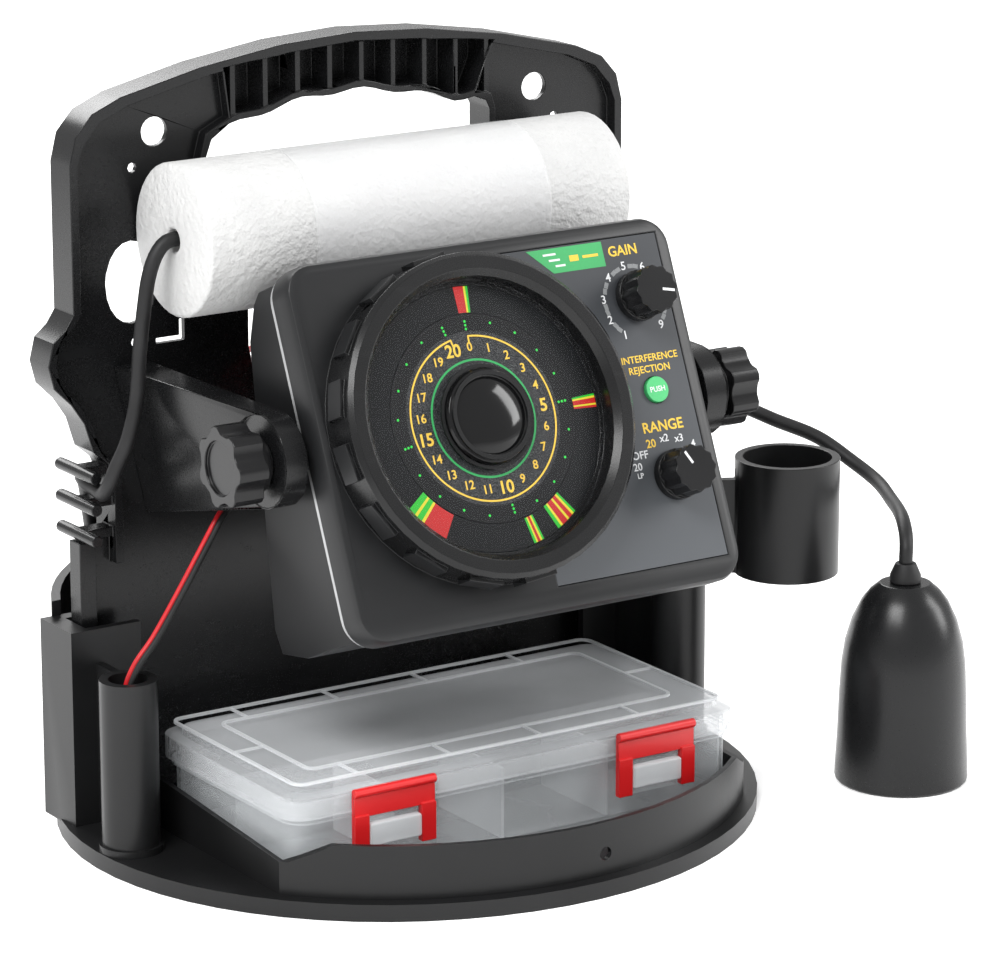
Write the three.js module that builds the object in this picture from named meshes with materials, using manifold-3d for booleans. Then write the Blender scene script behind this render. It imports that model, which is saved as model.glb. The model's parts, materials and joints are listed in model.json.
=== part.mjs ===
// Portable ice-fishing fish finder on its carrying case: a round moulded base with a slide-in carry panel,
// a tilting flasher head between two gimbal arms, a foam float, a transducer and a tackle box.
// Sizes are millimetres. X runs left to right, Y front to back and Z up, with the head facing -Y.
import * as THREE from 'three';
import Module from 'manifold-3d';
import { ConvexGeometry } from 'three/addons/geometries/ConvexGeometry.js';
import { mergeVertices } from 'three/addons/utils/BufferGeometryUtils.js';

const wasm = await Module();
wasm.setup();

// ---------------------------------------------------------------- driving sizes
const gap = 0.3; // left between pieces that touch
const slip = 0.4; // running clearance around a moving piece

const base = { halfWidth: 157.5, halfDepth: 150, centreY: 65, thick: 7.5 };
const bucket = { wall: 4, top: 102, frontY: 124 };
const tray = { halfWidth: 119.5, wall: 2.5, backTop: 31, frontTop: 22, frontWall: 31, inset: 6, backY: 94 };
const rail = { halfWidth: 150, side: 9, frontY: 97, jaw: 4, jawReach: 34, top: 95 };
const rodTube = { x: 143, y: 60, outer: 12.5, inner: 8.6, leftTop: 83.5, rightTop: 130 };
const cup = { x: 186, y: 36, outer: 24, inner: 20.2, bottom: 84, top: 138, floor: 3, web: 5, webTop: 128 };

const panel = { front: 104.6, back: 122.1, rim: 4, web: 3, webY: 110.5, bottom: 12, halfWidth: 140, shoulder: 300 };
const leg = { front: 106, back: 115.5, rim: 8, top: 131 };
const grip = {
  left: -75, right: 70, bottom: 272, wall: 3, backWall: 3,
  ribs: 9, ribPitch: 16.2, rib: 2.4, ribLift: 4,
};
const prong = {
  x: 137, radius: 2.7, reach: 16.5, centreY: 111.5, heights: [162, 148, 134],
  root: 121, halfPlate: 2.2,
};

const pivot = { y: 0.6, z: 187, tilt: THREE.MathUtils.degToRad(23.4) };
const head = { width: 192, height: 160, bezel: 14, corner: 13, wall: 3, chamfer: 3.6, front: -24.65, centreV: -5 };
const headSide = head.width / 2;
const arm = {
  inner: headSide + 4.5, outer: headSide + 15, rootInner: 101.5, rootOuter: 119, rootTop: 206, rootBottom: 139,
  boss: 20,
};
const stud = { radius: 3, inner: headSide - 8, outer: headSide + 33 };
const washer = { radius: 10, thick: 1.6 };
const pad = { radius: 13 };
const gimbalKnob = { radius: 17.6, valley: 14.6, lobes: 7, thick: 18, recess: 11.5, recessDeep: 1.4 };

const gasket = { thick: 2.4, inset: 0.6, width: 5 };
const shell = { halfWidth: headSide - 6, wall: 3, boss: 7.2, top: 71, bottom: -81, topDepth: 50, bottomDepth: 82 };
const dial = { u: -23.2, v: -1, radius: 44.3, thick: 1 };
const drum = { outer: 69, lip: 61.5, bore: 58.7, ledge: 56.6, height: 20.5, windowSeat: 10.2 };
const windowThick = 2;
const cap = { radius: 20.5, dome: 16.5, height: 6.5 };
const rotor = { radius: 55, thick: 1.6, hub: 6, hubLength: 4, back: 5.2, shaft: 1.6 };
const motor = { radius: 14, length: 20, front: 4.2 };
const board = { width: head.width - 24, height: 118, thick: 1.6, depth: 40, v: -9 };
const controls = { u: headSide - 25, gainV: 40.8, buttonV: 0.2, rangeV: -37.2 };
const knob = { radius: 10, skirt: 11, thick: 16.5, ribs: 12, shaft: 3, pot: 8, potLength: 10 };
const button = { radius: 5.6, proud: 1.6, travel: 1.2, flange: 7 };
const label = { right: headSide - 7.5, top: 67.5, bottom: -74.5, thick: 0.6, ringGap: 1.2 };
const plug = { socket: 11, nut: 9.6, length: 16, bore: 6.2, spacing: 36, drop: 16, barrel: 6 };
const plugFront = 2 * gap + plug.barrel;

const float = { radius: 33, left: -107.7, right: 104, y: 76.8, z: 265.5, bore: 4.8 };
const transducer = { x: 203, y: -30, boss: 7, bossTop: 101 };
const cordRadius = 3.2;
const leadRadius = 1.35;
const leadSpacing = 3.4;
const coil = { x: 62, y: 282, mean: 38, section: 10 };
const battery = { width: 94, depth: 62, height: 148, y: 128 };
const terminal = { positiveX: -14, negativeX: 2, inset: 23, half: 3, rise: 5 };
const terminalTop = base.thick + gap + battery.height + terminal.rise;

const box = { halfWidth: 116, front: -28, back: 85.5, top: 51.7, wall: 1.8, lid: 13, inset: 4, corner: 9 };
const boxRib = { thick: 1.5, short: 2.2 };
const latch = { x: 67, width: 40, thick: 2.2, leg: 7, drop: 27, hinge: 2 };
const boxHinge = { x: 62, tongue: 14, cheek: 3.4, radius: 3.2, pin: 1.5, z: 36.5 };

// ---------------------------------------------------------------- colours
const tone = {
  shell: [0x151617, 0.45, 0],
  gloss: [0x0c0c0d, 0.25, 0],
  bezel: [0x2b2d2f, 0.6, 0],
  rubber: [0x1b1b1c, 0.85, 0],
  steel: [0xb9bcc0, 0.32, 1],
  label: [0x666b6f, 0.55, 0],
  dial: [0x2e2f31, 0.5, 0],
  clear: [0xdde3e6, 0.12, 0],
  green: [0x2fae5b, 0.45, 0],
  board: [0x1c5a34, 0.5, 0],
  foam: [0xf2f2f0, 0.9, 0],
  box: [0xcfd6da, 0.3, 0],
  red: [0xd3151b, 0.35, 0],
  leadRed: [0xc9141c, 0.5, 0],
  cell: [0x1a1b20, 0.5, 0],
};

// ---------------------------------------------------------------- building blocks
function material(name) {
  const [color, roughness, metalness] = tone[name];
  return new THREE.MeshStandardMaterial({ color, roughness, metalness });
}

function solid(geometry) {
  const bare = geometry.clone();
  bare.deleteAttribute('normal');
  bare.deleteAttribute('uv');
  const welded = mergeVertices(bare, 1e-4);
  const mesh = new wasm.Mesh({
    numProp: 3,
    vertProperties: new Float32Array(welded.attributes.position.array),
    triVerts: new Uint32Array(welded.index.array),
  });
  return new wasm.Manifold(mesh);
}

function geometryOf(body) {
  const mesh = body.getMesh();
  const geometry = new THREE.BufferGeometry();
  geometry.setAttribute('position', new THREE.BufferAttribute(mesh.vertProperties, 3));
  geometry.setIndex(new THREE.BufferAttribute(mesh.triVerts, 1));
  return geometry;
}

function join(...parts) {
  return parts.map(asBody).reduce((sum, part) => sum.add(part));
}

function cut(whole, ...tools) {
  return tools.map(asBody).reduce((rest, tool) => rest.subtract(tool), asBody(whole));
}

function asBody(part) {
  return part.isBufferGeometry ? solid(part) : part;
}

function outline(points) {
  return new THREE.Shape(points.map(([a, b]) => new THREE.Vector2(a, b)));
}

function extrude(shape, length, curveSegments = 8) {
  return new THREE.ExtrudeGeometry(shape, { depth: length, bevelEnabled: false, curveSegments });
}

// A shape drawn in XY, from height z0 to z1.
function slabZ(shape, z0, z1, curveSegments) {
  return extrude(shape, z1 - z0, curveSegments).translate(0, 0, z0);
}

// A shape drawn in XZ, from y0 to y1.
function slabY(shape, y0, y1, curveSegments) {
  return extrude(shape, y1 - y0, curveSegments).rotateX(Math.PI / 2).translate(0, y1, 0);
}

// A shape drawn in YZ, from x0 to x1.
function slabX(shape, x0, x1, curveSegments) {
  return extrude(shape, x1 - x0, curveSegments).rotateX(Math.PI / 2).rotateZ(Math.PI / 2).translate(x0, 0, 0);
}

function block(x0, x1, y0, y1, z0, z1) {
  const geometry = new THREE.BoxGeometry(x1 - x0, y1 - y0, z1 - z0);
  return geometry.translate((x0 + x1) / 2, (y0 + y1) / 2, (z0 + z1) / 2);
}

function rodX(radius, x0, x1, y, z, sides = 24) {
  const geometry = new THREE.CylinderGeometry(radius, radius, x1 - x0, sides).rotateZ(Math.PI / 2);
  return geometry.translate((x0 + x1) / 2, y, z);
}

function rodY(radius, y0, y1, x, z, sides = 24) {
  return new THREE.CylinderGeometry(radius, radius, y1 - y0, sides).translate(x, (y0 + y1) / 2, z);
}

function rodZ(radius, z0, z1, x, y, sides = 24) {
  const geometry = new THREE.CylinderGeometry(radius, radius, z1 - z0, sides).rotateX(Math.PI / 2);
  return geometry.translate(x, y, (z0 + z1) / 2);
}

// A turned piece: [radius, station] points from one end of the axis to the other, about Y.
function turnedY(profile, sides = 36) {
  return new THREE.LatheGeometry(profile.map(([r, y]) => new THREE.Vector2(r, y)), sides);
}

function turnedZ(profile, sides) {
  return turnedY(profile, sides).rotateX(Math.PI / 2);
}

function arc(cx, cy, rx, ry, from, to, steps) {
  return Array.from({ length: steps + 1 }, (_, i) => {
    const angle = from + ((to - from) * i) / steps;
    return [cx + rx * Math.cos(angle), cy + ry * Math.sin(angle)];
  });
}

function roundedRect(x0, x1, y0, y1, radius) {
  const shape = new THREE.Shape();
  shape.moveTo(x0 + radius, y0);
  shape.lineTo(x1 - radius, y0);
  shape.absarc(x1 - radius, y0 + radius, radius, -Math.PI / 2, 0);
  shape.lineTo(x1, y1 - radius);
  shape.absarc(x1 - radius, y1 - radius, radius, 0, Math.PI / 2);
  shape.lineTo(x0 + radius, y1);
  shape.absarc(x0 + radius, y1 - radius, radius, Math.PI / 2, Math.PI);
  shape.lineTo(x0, y0 + radius);
  shape.absarc(x0 + radius, y0 + radius, radius, Math.PI, 1.5 * Math.PI);
  return shape;
}

function mirrored(points) {
  return points.map(([x, z]) => [-x, z]).reverse();
}

// A round cord through hand-chosen points.
function cordSolid(points, radius, steps, sides = 8) {
  const curve = new THREE.CatmullRomCurve3(points.map((p) => new THREE.Vector3(...p)), false, 'centripetal');
  const section = outline(arc(0, 0, radius, radius, 0, 2 * Math.PI * (1 - 1 / sides), sides - 1));
  return new THREE.ExtrudeGeometry(section, { steps, extrudePath: curve, bevelEnabled: false });
}

const object = new THREE.Group();
const headGroup = new THREE.Group();
headGroup.position.set(0, pivot.y, pivot.z);
headGroup.rotation.x = -pivot.tilt;
object.add(headGroup);

function addPiece(name, part, toneName, parent = object) {
  const geometry = part.isBufferGeometry ? part : geometryOf(part);
  const mesh = new THREE.Mesh(geometry, material(toneName));
  mesh.name = name;
  parent.add(mesh);
  return mesh;
}

// ---------------------------------------------------------------- carrier base
function baseOutline(inset, from = 0, to = 2 * Math.PI, steps = 64) {
  const rx = base.halfWidth - inset;
  const ry = base.halfDepth - inset;
  return arc(0, base.centreY, rx, ry, from, to, steps);
}

function angleAtY(y, inset) {
  return Math.asin((y - base.centreY) / (base.halfDepth - inset));
}

function angleAtX(x, inset) {
  return Math.acos(x / (base.halfWidth - inset));
}

function buildBase() {
  const plate = slabZ(outline(baseOutline(0).slice(0, -1)), 0, base.thick);
  const start = angleAtY(bucket.frontY, 0);
  const inner = angleAtY(bucket.frontY, bucket.wall);
  const wallPoints = [
    ...baseOutline(0, start, Math.PI - start, 30),
    ...baseOutline(bucket.wall, Math.PI - inner, inner, 30),
  ];
  const rearWall = slabZ(outline(wallPoints), base.thick - 1, bucket.top);

  const frontEdge = tray.inset + tray.wall;
  const a0 = -angleAtX(-tray.halfWidth, tray.inset);
  const a1 = -angleAtX(tray.halfWidth, tray.inset);
  const b0 = -angleAtX(-tray.halfWidth, frontEdge);
  const b1 = -angleAtX(tray.halfWidth, frontEdge);
  const frontPoints = [...baseOutline(tray.inset, a0, a1, 22), ...baseOutline(frontEdge, b1, b0, 22)];
  const frontWall = slabZ(outline(frontPoints), base.thick - 1, tray.frontWall);
  const cornerY = base.centreY + (base.halfDepth - frontEdge) * Math.sin(b0) + 1;
  const sideProfile = outline([
    [cornerY - 4, base.thick - 1],
    [tray.backY, base.thick - 1],
    [tray.backY, tray.backTop],
    [cornerY - 4, tray.frontTop],
  ]);
  const sideWall = (side) => {
    const x0 = side < 0 ? -tray.halfWidth : tray.halfWidth - tray.wall;
    return slabX(sideProfile, x0, x0 + tray.wall);
  };
  const endSlope = (side) => {
    const wedge = outline([
      [side * 101, tray.frontWall + 1],
      [side * (tray.halfWidth + 1), tray.frontWall + 1],
      [side * (tray.halfWidth + 1), tray.frontTop],
      [side * (tray.halfWidth - tray.wall), tray.frontTop],
    ]);
    return slabY(wedge, base.centreY - base.halfDepth, cornerY + 2);
  };

  const railSide = (side) => {
    const outer = side * rail.halfWidth;
    const inside = side * (rail.halfWidth - rail.side);
    const reach = side * (rail.halfWidth - rail.jawReach);
    const [lo, hi] = [Math.min(outer, inside), Math.max(outer, inside)];
    const [jawLo, jawHi] = [Math.min(outer, reach), Math.max(outer, reach)];
    return join(
      block(lo, hi, rail.frontY, bucket.frontY + 1, base.thick - 1, rail.top),
      block(jawLo, jawHi, rail.frontY, rail.frontY + rail.jaw, base.thick - 1, rail.top),
      block(jawLo, jawHi, bucket.frontY - 5, bucket.frontY + 1, base.thick - 1, rail.top),
    );
  };

  const tubeSide = (side, top) => {
    const x = side * rodTube.x;
    const finX = side * (rodTube.x - 7);
    return join(
      rodZ(rodTube.outer, base.thick - 1, top, x, rodTube.y, 24),
      rodZ(rodTube.outer + 1.4, base.thick - 1, base.thick + 3, x, rodTube.y, 24),
      block(finX - 2, finX + 2, rodTube.y, rail.frontY + 1, base.thick - 1, Math.min(top, rail.top) - 4),
    );
  };
  const tubeBore = (side, top) => rodZ(rodTube.inner, base.thick, top + 1, side * rodTube.x, rodTube.y, 24);

  const drain = rodY(3, base.centreY - base.halfDepth - 1, base.centreY - base.halfDepth + 16, 7, 17, 16);
  return cut(
    join(
      plate,
      rearWall,
      cut(frontWall, endSlope(-1), endSlope(1)),
      sideWall(-1),
      sideWall(1),
      railSide(-1),
      railSide(1),
      tubeSide(-1, rodTube.leftTop),
      tubeSide(1, rodTube.rightTop),
    ),
    tubeBore(-1, rodTube.leftTop),
    tubeBore(1, rodTube.rightTop),
    drain,
  );
}

// The cup that holds the transducer, joined by a web to the right rod tube.
function buildCup() {
  const body = rodZ(cup.outer, cup.bottom, cup.top, cup.x, cup.y, 32);
  const bore = rodZ(cup.inner, cup.bottom + cup.floor, cup.top + 1, cup.x, cup.y, 32);
  const drainHole = rodZ(5, cup.bottom - 1, cup.bottom + cup.floor + 1, cup.x, cup.y, 20);
  const dx = rodTube.x - cup.x;
  const dy = rodTube.y - cup.y;
  const reach = Math.hypot(dx, dy);
  const web = block(cup.inner + 1, reach, -cup.web / 2, cup.web / 2, cup.bottom, cup.webTop);
  web.rotateZ(Math.atan2(dy, dx)).translate(cup.x, cup.y, 0);
  const clamp = rodZ(rodTube.outer + gap + 3, cup.bottom + 10, cup.webTop - 6, rodTube.x, rodTube.y, 32);
  const tubeRoom = rodZ(rodTube.outer + gap, cup.bottom - 1, cup.top, rodTube.x, rodTube.y, 32);
  return cut(join(body, web, clamp), bore, drainHole, tubeRoom);
}

// ---------------------------------------------------------------- carry panel
const panelSide = [
  [0, 340],
  [37, 338],
  [77, 332],
  [116, 323],
  [130, 317],
  [138, 308],
  [141, 296],
  [141, 232],
  [145, 226],
  [151, 221],
  [153.5, 211],
  [151, 201],
  [143, 193],
  [137, 184],
  [133, 171],
  [126, 165],
  [123, 158],
  [123, leg.top],
];

function panelOutline(inset, bottomZ) {
  const right = panelSide.map(([x, z]) => [x > 0 ? x - inset : 0, z > panel.shoulder ? z - inset : z]);
  const [lastX] = right[right.length - 1];
  right.push([lastX, bottomZ]);
  return [...right, ...mirrored(right).slice(0, -1)];
}

// The lower edge of the handle bar, with its finger waves.
function gripWave(offset) {
  const steps = 24;
  return Array.from({ length: steps + 1 }, (_, i) => {
    const t = i / steps;
    const x = grip.left + 12 + (grip.right - grip.left - 20) * t;
    const arch = 305 + 9.5 * Math.sin(Math.PI * Math.min(1, t * 1.08));
    const wave = 1.1 * Math.cos((2 * Math.PI * (x - grip.ribLift)) / (2 * grip.ribPitch));
    return [x, arch + wave + offset];
  });
}

function gripOpening(grow) {
  const wave = gripWave(grow);
  return [
    [grip.left - grow + 6, grip.bottom - grow],
    [grip.right + grow - 6, grip.bottom - grow],
    [grip.right + grow, grip.bottom - grow + 6],
    [grip.right + grow, 299],
    [grip.right + grow - 2, 303 + grow],
    ...wave.reverse(),
    [grip.left - grow + 3, 300 + grow],
    [grip.left - grow, 292],
    [grip.left - grow, grip.bottom - grow + 6],
  ];
}

const batteryWindow = [
  [52, 228],
  [52, 206],
  [49, 190],
  [41, 177],
  [35, 166],
  [35, 98],
  [32, 90],
  [25, 84],
];

function buildPanel() {
  const bodyShape = outline(panelOutline(0, 120));
  const rim = cut(
    slabY(bodyShape, panel.front, panel.back),
    slabY(outline(panelOutline(panel.rim, 100)), panel.front - 1, panel.back + 1),
  );
  const webShape = outline(panelOutline(1, panel.bottom));
  const web = slabY(webShape, panel.webY, panel.webY + panel.web);
  const lower = block(
    -panel.halfWidth, panel.halfWidth, panel.webY, panel.webY + panel.web, panel.bottom, leg.top,
  );
  const legs = [-1, 1].map((side) => {
    const outer = side * panel.halfWidth;
    const inner = side * (panel.halfWidth - leg.rim);
    return block(Math.min(outer, inner), Math.max(outer, inner), leg.front, leg.back, panel.bottom, leg.top);
  });
  const foot = block(-panel.halfWidth, panel.halfWidth, leg.front, leg.back, panel.bottom, panel.bottom + 5);

  const gripTop = (x) => 334.5 - 0.0009 * x * x;
  const cavityTop = Array.from({ length: 13 }, (_, i) => {
    const x = -66 + (i * 138) / 12;
    return [x, gripTop(x)];
  });
  const cavity = outline([...cavityTop, ...gripWave(grip.wall).reverse()]);
  const gripBlock = slabY(outline([...cavityTop, ...gripWave(0.5).reverse()]), panel.front + 0.6, panel.back);
  const gripRoom = slabY(cavity, panel.front - 1, panel.back - grip.backWall);
  const ribs = Array.from({ length: grip.ribs }, (_, i) => {
    const x = grip.ribLift + (i - (grip.ribs - 1) / 2) * grip.ribPitch;
    return block(x - grip.rib / 2, x + grip.rib / 2, panel.front + 1.5, panel.back - 1, 306, gripTop(x) + 1);
  });
  const slotRim = cut(
    slabY(outline(gripOpening(grip.wall)), panel.front + 0.6, panel.back),
    slabY(outline(gripOpening(0)), panel.front - 1, panel.back + 1),
  );

  const fingers = prong.heights.flatMap((z) => [-1, 1].flatMap((side) => {
    const x = side * prong.x;
    const root = side * prong.root;
    const [near, far] = [Math.min(x, root), Math.max(x, root)];
    const plate = block(near, far, leg.front + 1, leg.back, z - prong.halfPlate, z + prong.halfPlate);
    const bar = rodY(prong.radius, prong.centreY - prong.reach, prong.centreY + prong.reach, x, z, 12);
    return [plate, bar];
  }));

  const through = (shape) => slabY(shape, panel.front - 2, panel.back + 2);
  const ovalHole = (side) => through(outline(arc(side * 109.5, 241.5, 12.5, 18, 0, 2 * Math.PI, 20).slice(0, -1)));
  const hookSlot = (side) => through(outline([
    [side * 98, 213],
    [side * 84, 213],
    [side * 84, 222.5],
    [side * 86.5, 222.5],
    [side * 86.5, 215.4],
    [side * 98, 215.4],
  ]));
  const windowShape = outline([...batteryWindow, ...mirrored(batteryWindow)]);
  const windowRim = cut(
    slabY(outline([...batteryWindow, ...mirrored(batteryWindow)].map(([x, z]) => [
      x + Math.sign(x) * 2.5, z + (z > 200 ? 2.5 : z < 100 ? -2.5 : 0),
    ])), panel.webY, panel.webY + panel.web + 3),
    through(windowShape),
  );
  const small = [-1, 1].flatMap((side) => [
    rodY(6.3, panel.front - 2, panel.back + 2, side * 97, 305.5, 20),
    rodY(2.1, panel.front - 2, panel.back + 2, side * 108, 291, 8),
    rodY(2.1, panel.front - 2, panel.back + 2, side * 108, 215, 8),
  ]);

  const frame = cut(join(rim, web, lower, ...legs, foot, gripBlock), gripRoom, through(outline(gripOpening(0))));
  return cut(
    join(frame, ...ribs, slotRim, ...fingers, windowRim),
    through(windowShape),
    ovalHole(-1),
    ovalHole(1),
    hookSlot(-1),
    hookSlot(1),
    ...small,
    through(outline(gripOpening(0))),
    rodX(float.radius + 2 * gap, float.left - 1, float.right + 1, float.y, float.z, 28),
  );
}

// ---------------------------------------------------------------- gimbal
function buildArm(side) {
  const rootY = panel.webY - gap;
  const ring = arc(pivot.y, pivot.z, arm.boss, arm.boss, 0, 2 * Math.PI, 18).slice(0, -1);
  const points = ring.flatMap(([y, z]) => [
    new THREE.Vector3(side * arm.inner, y, z),
    new THREE.Vector3(side * arm.outer, y, z),
  ]);
  points.push(
    new THREE.Vector3(side * arm.rootInner, rootY, arm.rootTop),
    new THREE.Vector3(side * arm.rootOuter, rootY, arm.rootTop),
    new THREE.Vector3(side * arm.rootInner, rootY, arm.rootBottom),
    new THREE.Vector3(side * (arm.rootInner + 3), rootY, arm.rootBottom),
  );
  const bore = rodX(stud.radius + slip, side * arm.outer - 30, side * arm.outer + 30, pivot.y, pivot.z, 16);
  const seatEnds = [side * arm.outer, side * (arm.outer + 20)];
  const seat = rodX(gimbalKnob.radius + 2, Math.min(...seatEnds), Math.max(...seatEnds), pivot.y, pivot.z, 24);
  return cut(new ConvexGeometry(points), bore, seat);
}

function lobedProfile(radius, valley, lobes, steps) {
  const mid = (radius + valley) / 2;
  const swing = (radius - valley) / 2;
  return Array.from({ length: steps }, (_, i) => {
    const angle = (2 * Math.PI * i) / steps;
    const wave = Math.cos(lobes * angle);
    const r = mid + swing * Math.sign(wave) * Math.abs(wave) ** 0.6;
    return [r * Math.cos(angle), r * Math.sin(angle)];
  });
}

function buildGimbalKnob(side) {
  const inner = arm.outer + gap + washer.thick + gap;
  const outer = inner + gimbalKnob.thick;
  const lobed = outline(lobedProfile(gimbalKnob.radius, gimbalKnob.valley, gimbalKnob.lobes, 42));
  const grip = slabX(lobed, inner + 4, outer);
  const collar = rodX(gimbalKnob.valley - 2, inner, inner + 5, 0, 0, 32);
  const recess = rodX(gimbalKnob.recess, outer - gimbalKnob.recessDeep, outer + 1, 0, 0, 32);
  const bore = rodX(stud.radius + gap, inner - 1, stud.outer + gap, 0, 0, 20);
  const body = geometryOf(cut(join(grip, collar), recess, bore));
  if (side < 0) {
    body.rotateZ(Math.PI);
  }
  return body.translate(0, pivot.y, pivot.z);
}

function addGimbal(name, side) {
  addPiece(`gimbal_arm_${name}`, buildArm(side), 'gloss');
  addPiece(`gimbal_knob_${name}`, buildGimbalKnob(side), 'gloss');
  const sorted = (a, b) => [Math.min(side * a, side * b), Math.max(side * a, side * b)];
  const disc = (radius, a, b) => rodX(radius, ...sorted(a, b), pivot.y, pivot.z, 20);
  const hole = disc(stud.radius + gap, arm.inner - 12, arm.outer + 12);
  const washerInner = arm.outer + gap;
  const washerBlank = disc(washer.radius, washerInner, washerInner + washer.thick);
  addPiece(`gimbal_washer_${name}`, cut(washerBlank, hole), 'steel');
  addPiece(`friction_pad_${name}`, cut(disc(pad.radius, head.width / 2 + gap, arm.inner - gap), hole), 'rubber');
  addPiece(`gimbal_stud_${name}`, disc(stud.radius, stud.inner, stud.outer), 'steel');
}

// ---------------------------------------------------------------- flasher head
// Head pieces use the head's own frame: X across, Y into the head, Z up its face, with the tilt axis at 0, 0, 0.
const face = head.front;
const bezelBack = face + head.bezel;
const shellFront = bezelBack + gap + gasket.thick + gap;
const vTop = head.centreV + head.height / 2;
const vBottom = head.centreV - head.height / 2;
const boreThroughFront = (radius, u, v) => rodY(radius, face - 5, face + head.wall + 3, u, v, 20);

function buildBezel() {
  const half = head.width / 2;
  const edge = head.chamfer;
  const rect = roundedRect(-half + edge, half - edge, vBottom + edge, vTop - edge, head.corner - edge);
  const block3 = new THREE.ExtrudeGeometry(rect, {
    depth: head.bezel, bevelSize: edge, bevelThickness: edge, bevelSegments: 2, curveSegments: 4,
  });
  block3.rotateX(Math.PI / 2).translate(0, face + edge + head.bezel, 0);
  const trim = block(-half - 5, half + 5, bezelBack, bezelBack + 20, vBottom - 5, vTop + 5);
  const room = slabY(
    roundedRect(
      -half + head.wall, half - head.wall, vBottom + head.wall, vTop - head.wall, head.corner - head.wall,
    ),
    face + head.wall, bezelBack + 1, 4,
  );
  const drumFront = face - drum.height;
  const seat = face - drum.windowSeat;
  const drumBody = turnedY([
    [drum.ledge, face + head.wall],
    [drum.ledge, seat],
    [drum.bore, seat],
    [drum.bore, drumFront + 3],
    [drum.lip, drumFront],
    [drum.outer - 2, drumFront],
    [drum.outer, drumFront + 2],
    [drum.outer, face + head.wall],
    [drum.ledge, face + head.wall],
  ], 48).translate(dial.u, 0, dial.v);
  const pads = Array.from({ length: 9 }, (_, i) => {
    const angle = THREE.MathUtils.degToRad(100 + i * 22);
    const r = drum.outer;
    const pad3 = block(r - 2, r + 1.6, drumFront + 5, drumFront + 15.5, -8, 8);
    return pad3.rotateY(-angle).translate(dial.u, 0, dial.v);
  });
  return cut(
    join(cut(block3, trim, room), drumBody, ...pads),
    boreThroughFront(knob.shaft + slip, controls.u, controls.gainV),
    boreThroughFront(knob.shaft + slip, controls.u, controls.rangeV),
    boreThroughFront(button.radius + slip, controls.u, controls.buttonV),
    rodY(drum.ledge, face - 3, face + head.wall + 1, dial.u, dial.v, 48),
    labelRecess(),
  );
}

// The printed control plate sits in a shallow recess, cut round beside the drum.
function labelShape(grow) {
  const ringRadius = drum.outer + label.ringGap + (grow > 0 ? -grow : 0);
  const topV = label.top + grow;
  const bottomV = label.bottom - grow;
  const angleAt = (v) => Math.asin(Math.max(-1, Math.min(1, (v - dial.v) / ringRadius)));
  const high = Math.min(topV, dial.v + ringRadius * 0.94);
  const low = Math.max(bottomV, dial.v - ringRadius * 0.94);
  return outline([
    [label.right + grow, bottomV],
    [label.right + grow, topV],
    [dial.u + ringRadius * Math.cos(angleAt(high)), topV],
    ...arc(dial.u, dial.v, ringRadius, ringRadius, angleAt(high), angleAt(low), 18),
    [dial.u + ringRadius * Math.cos(angleAt(low)), bottomV],
  ].reverse());
}

function labelRecess() {
  return slabY(labelShape(gap), face - 1, face + label.thick + gap);
}

function buildLabel() {
  return cut(
    slabY(labelShape(0), face, face + label.thick),
    boreThroughFront(knob.shaft + slip, controls.u, controls.gainV),
    boreThroughFront(knob.shaft + slip, controls.u, controls.rangeV),
    boreThroughFront(button.radius + slip, controls.u, controls.buttonV),
  );
}

function buildGasket() {
  const half = head.width / 2 - gasket.inset;
  const y0 = bezelBack + gap;
  const outer = roundedRect(-half, half, vBottom + gasket.inset, vTop - gasket.inset, head.corner);
  const w = gasket.width;
  const inner = roundedRect(
    -half + w, half - w, vBottom + gasket.inset + w, vTop - gasket.inset - w, head.corner - w,
  );
  return cut(slabY(outer, y0, y0 + gasket.thick, 5), slabY(inner, y0 - 1, y0 + gasket.thick + 1, 5));
}

// Side profile of the rear housing, from its front rim round the sloping back.
function shellProfile(inset) {
  return outline([
    [shellFront - (inset ? 1 : 0), shell.bottom + inset],
    [face + 60, shell.bottom + inset],
    [face + shell.bottomDepth - 2 - inset, shell.bottom + 5 + inset / 2],
    [face + shell.bottomDepth - inset, shell.bottom + 16],
    [face + shell.topDepth - inset, shell.top - 18],
    [face + shell.topDepth - 10 - inset / 2, shell.top - 4 - inset / 2],
    [face + 34, shell.top - inset],
    [shellFront - (inset ? 1 : 0), shell.top - inset],
  ]);
}

const backSlope = Math.atan2(shell.bottomDepth - shell.topDepth, shell.top - 18 - (shell.bottom + 16));

function buildShell() {
  const w = shell.halfWidth;
  const bossEnd = head.width / 2;
  const outer = slabX(shellProfile(0), -w, w);
  const inner = slabX(shellProfile(shell.wall), -w + shell.wall, w - shell.wall);
  const bosses = [-1, 1].map((side) => {
    const ends = [side * (w - 8), side * bossEnd];
    return rodX(shell.boss, Math.min(...ends), Math.max(...ends), 0, 0, 16);
  });
  const studRoom = [-1, 1].map((side) => {
    const ends = [side * (stud.inner - 1), side * (bossEnd + 2)];
    return rodX(stud.radius + slip, Math.min(...ends), Math.max(...ends), 0, 0, 16);
  });
  const socketHoles = [-1, 1].map((side) => onBack(rodY(plug.bore + slip, -8, 8, side * plug.spacing, 0, 20)));
  return cut(join(cut(outer, inner), ...bosses), ...studRoom, ...socketHoles);
}

// Moves geometry drawn around the middle of the sloping back face, with Y pointing out of it.
function onBack(geometry) {
  const midDepth = face + (shell.topDepth + shell.bottomDepth) / 2;
  const midV = (shell.top - 18 + shell.bottom + 16) / 2;
  return geometry.translate(0, 0, -plug.drop).rotateX(backSlope).translate(0, midDepth, midV);
}

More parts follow.
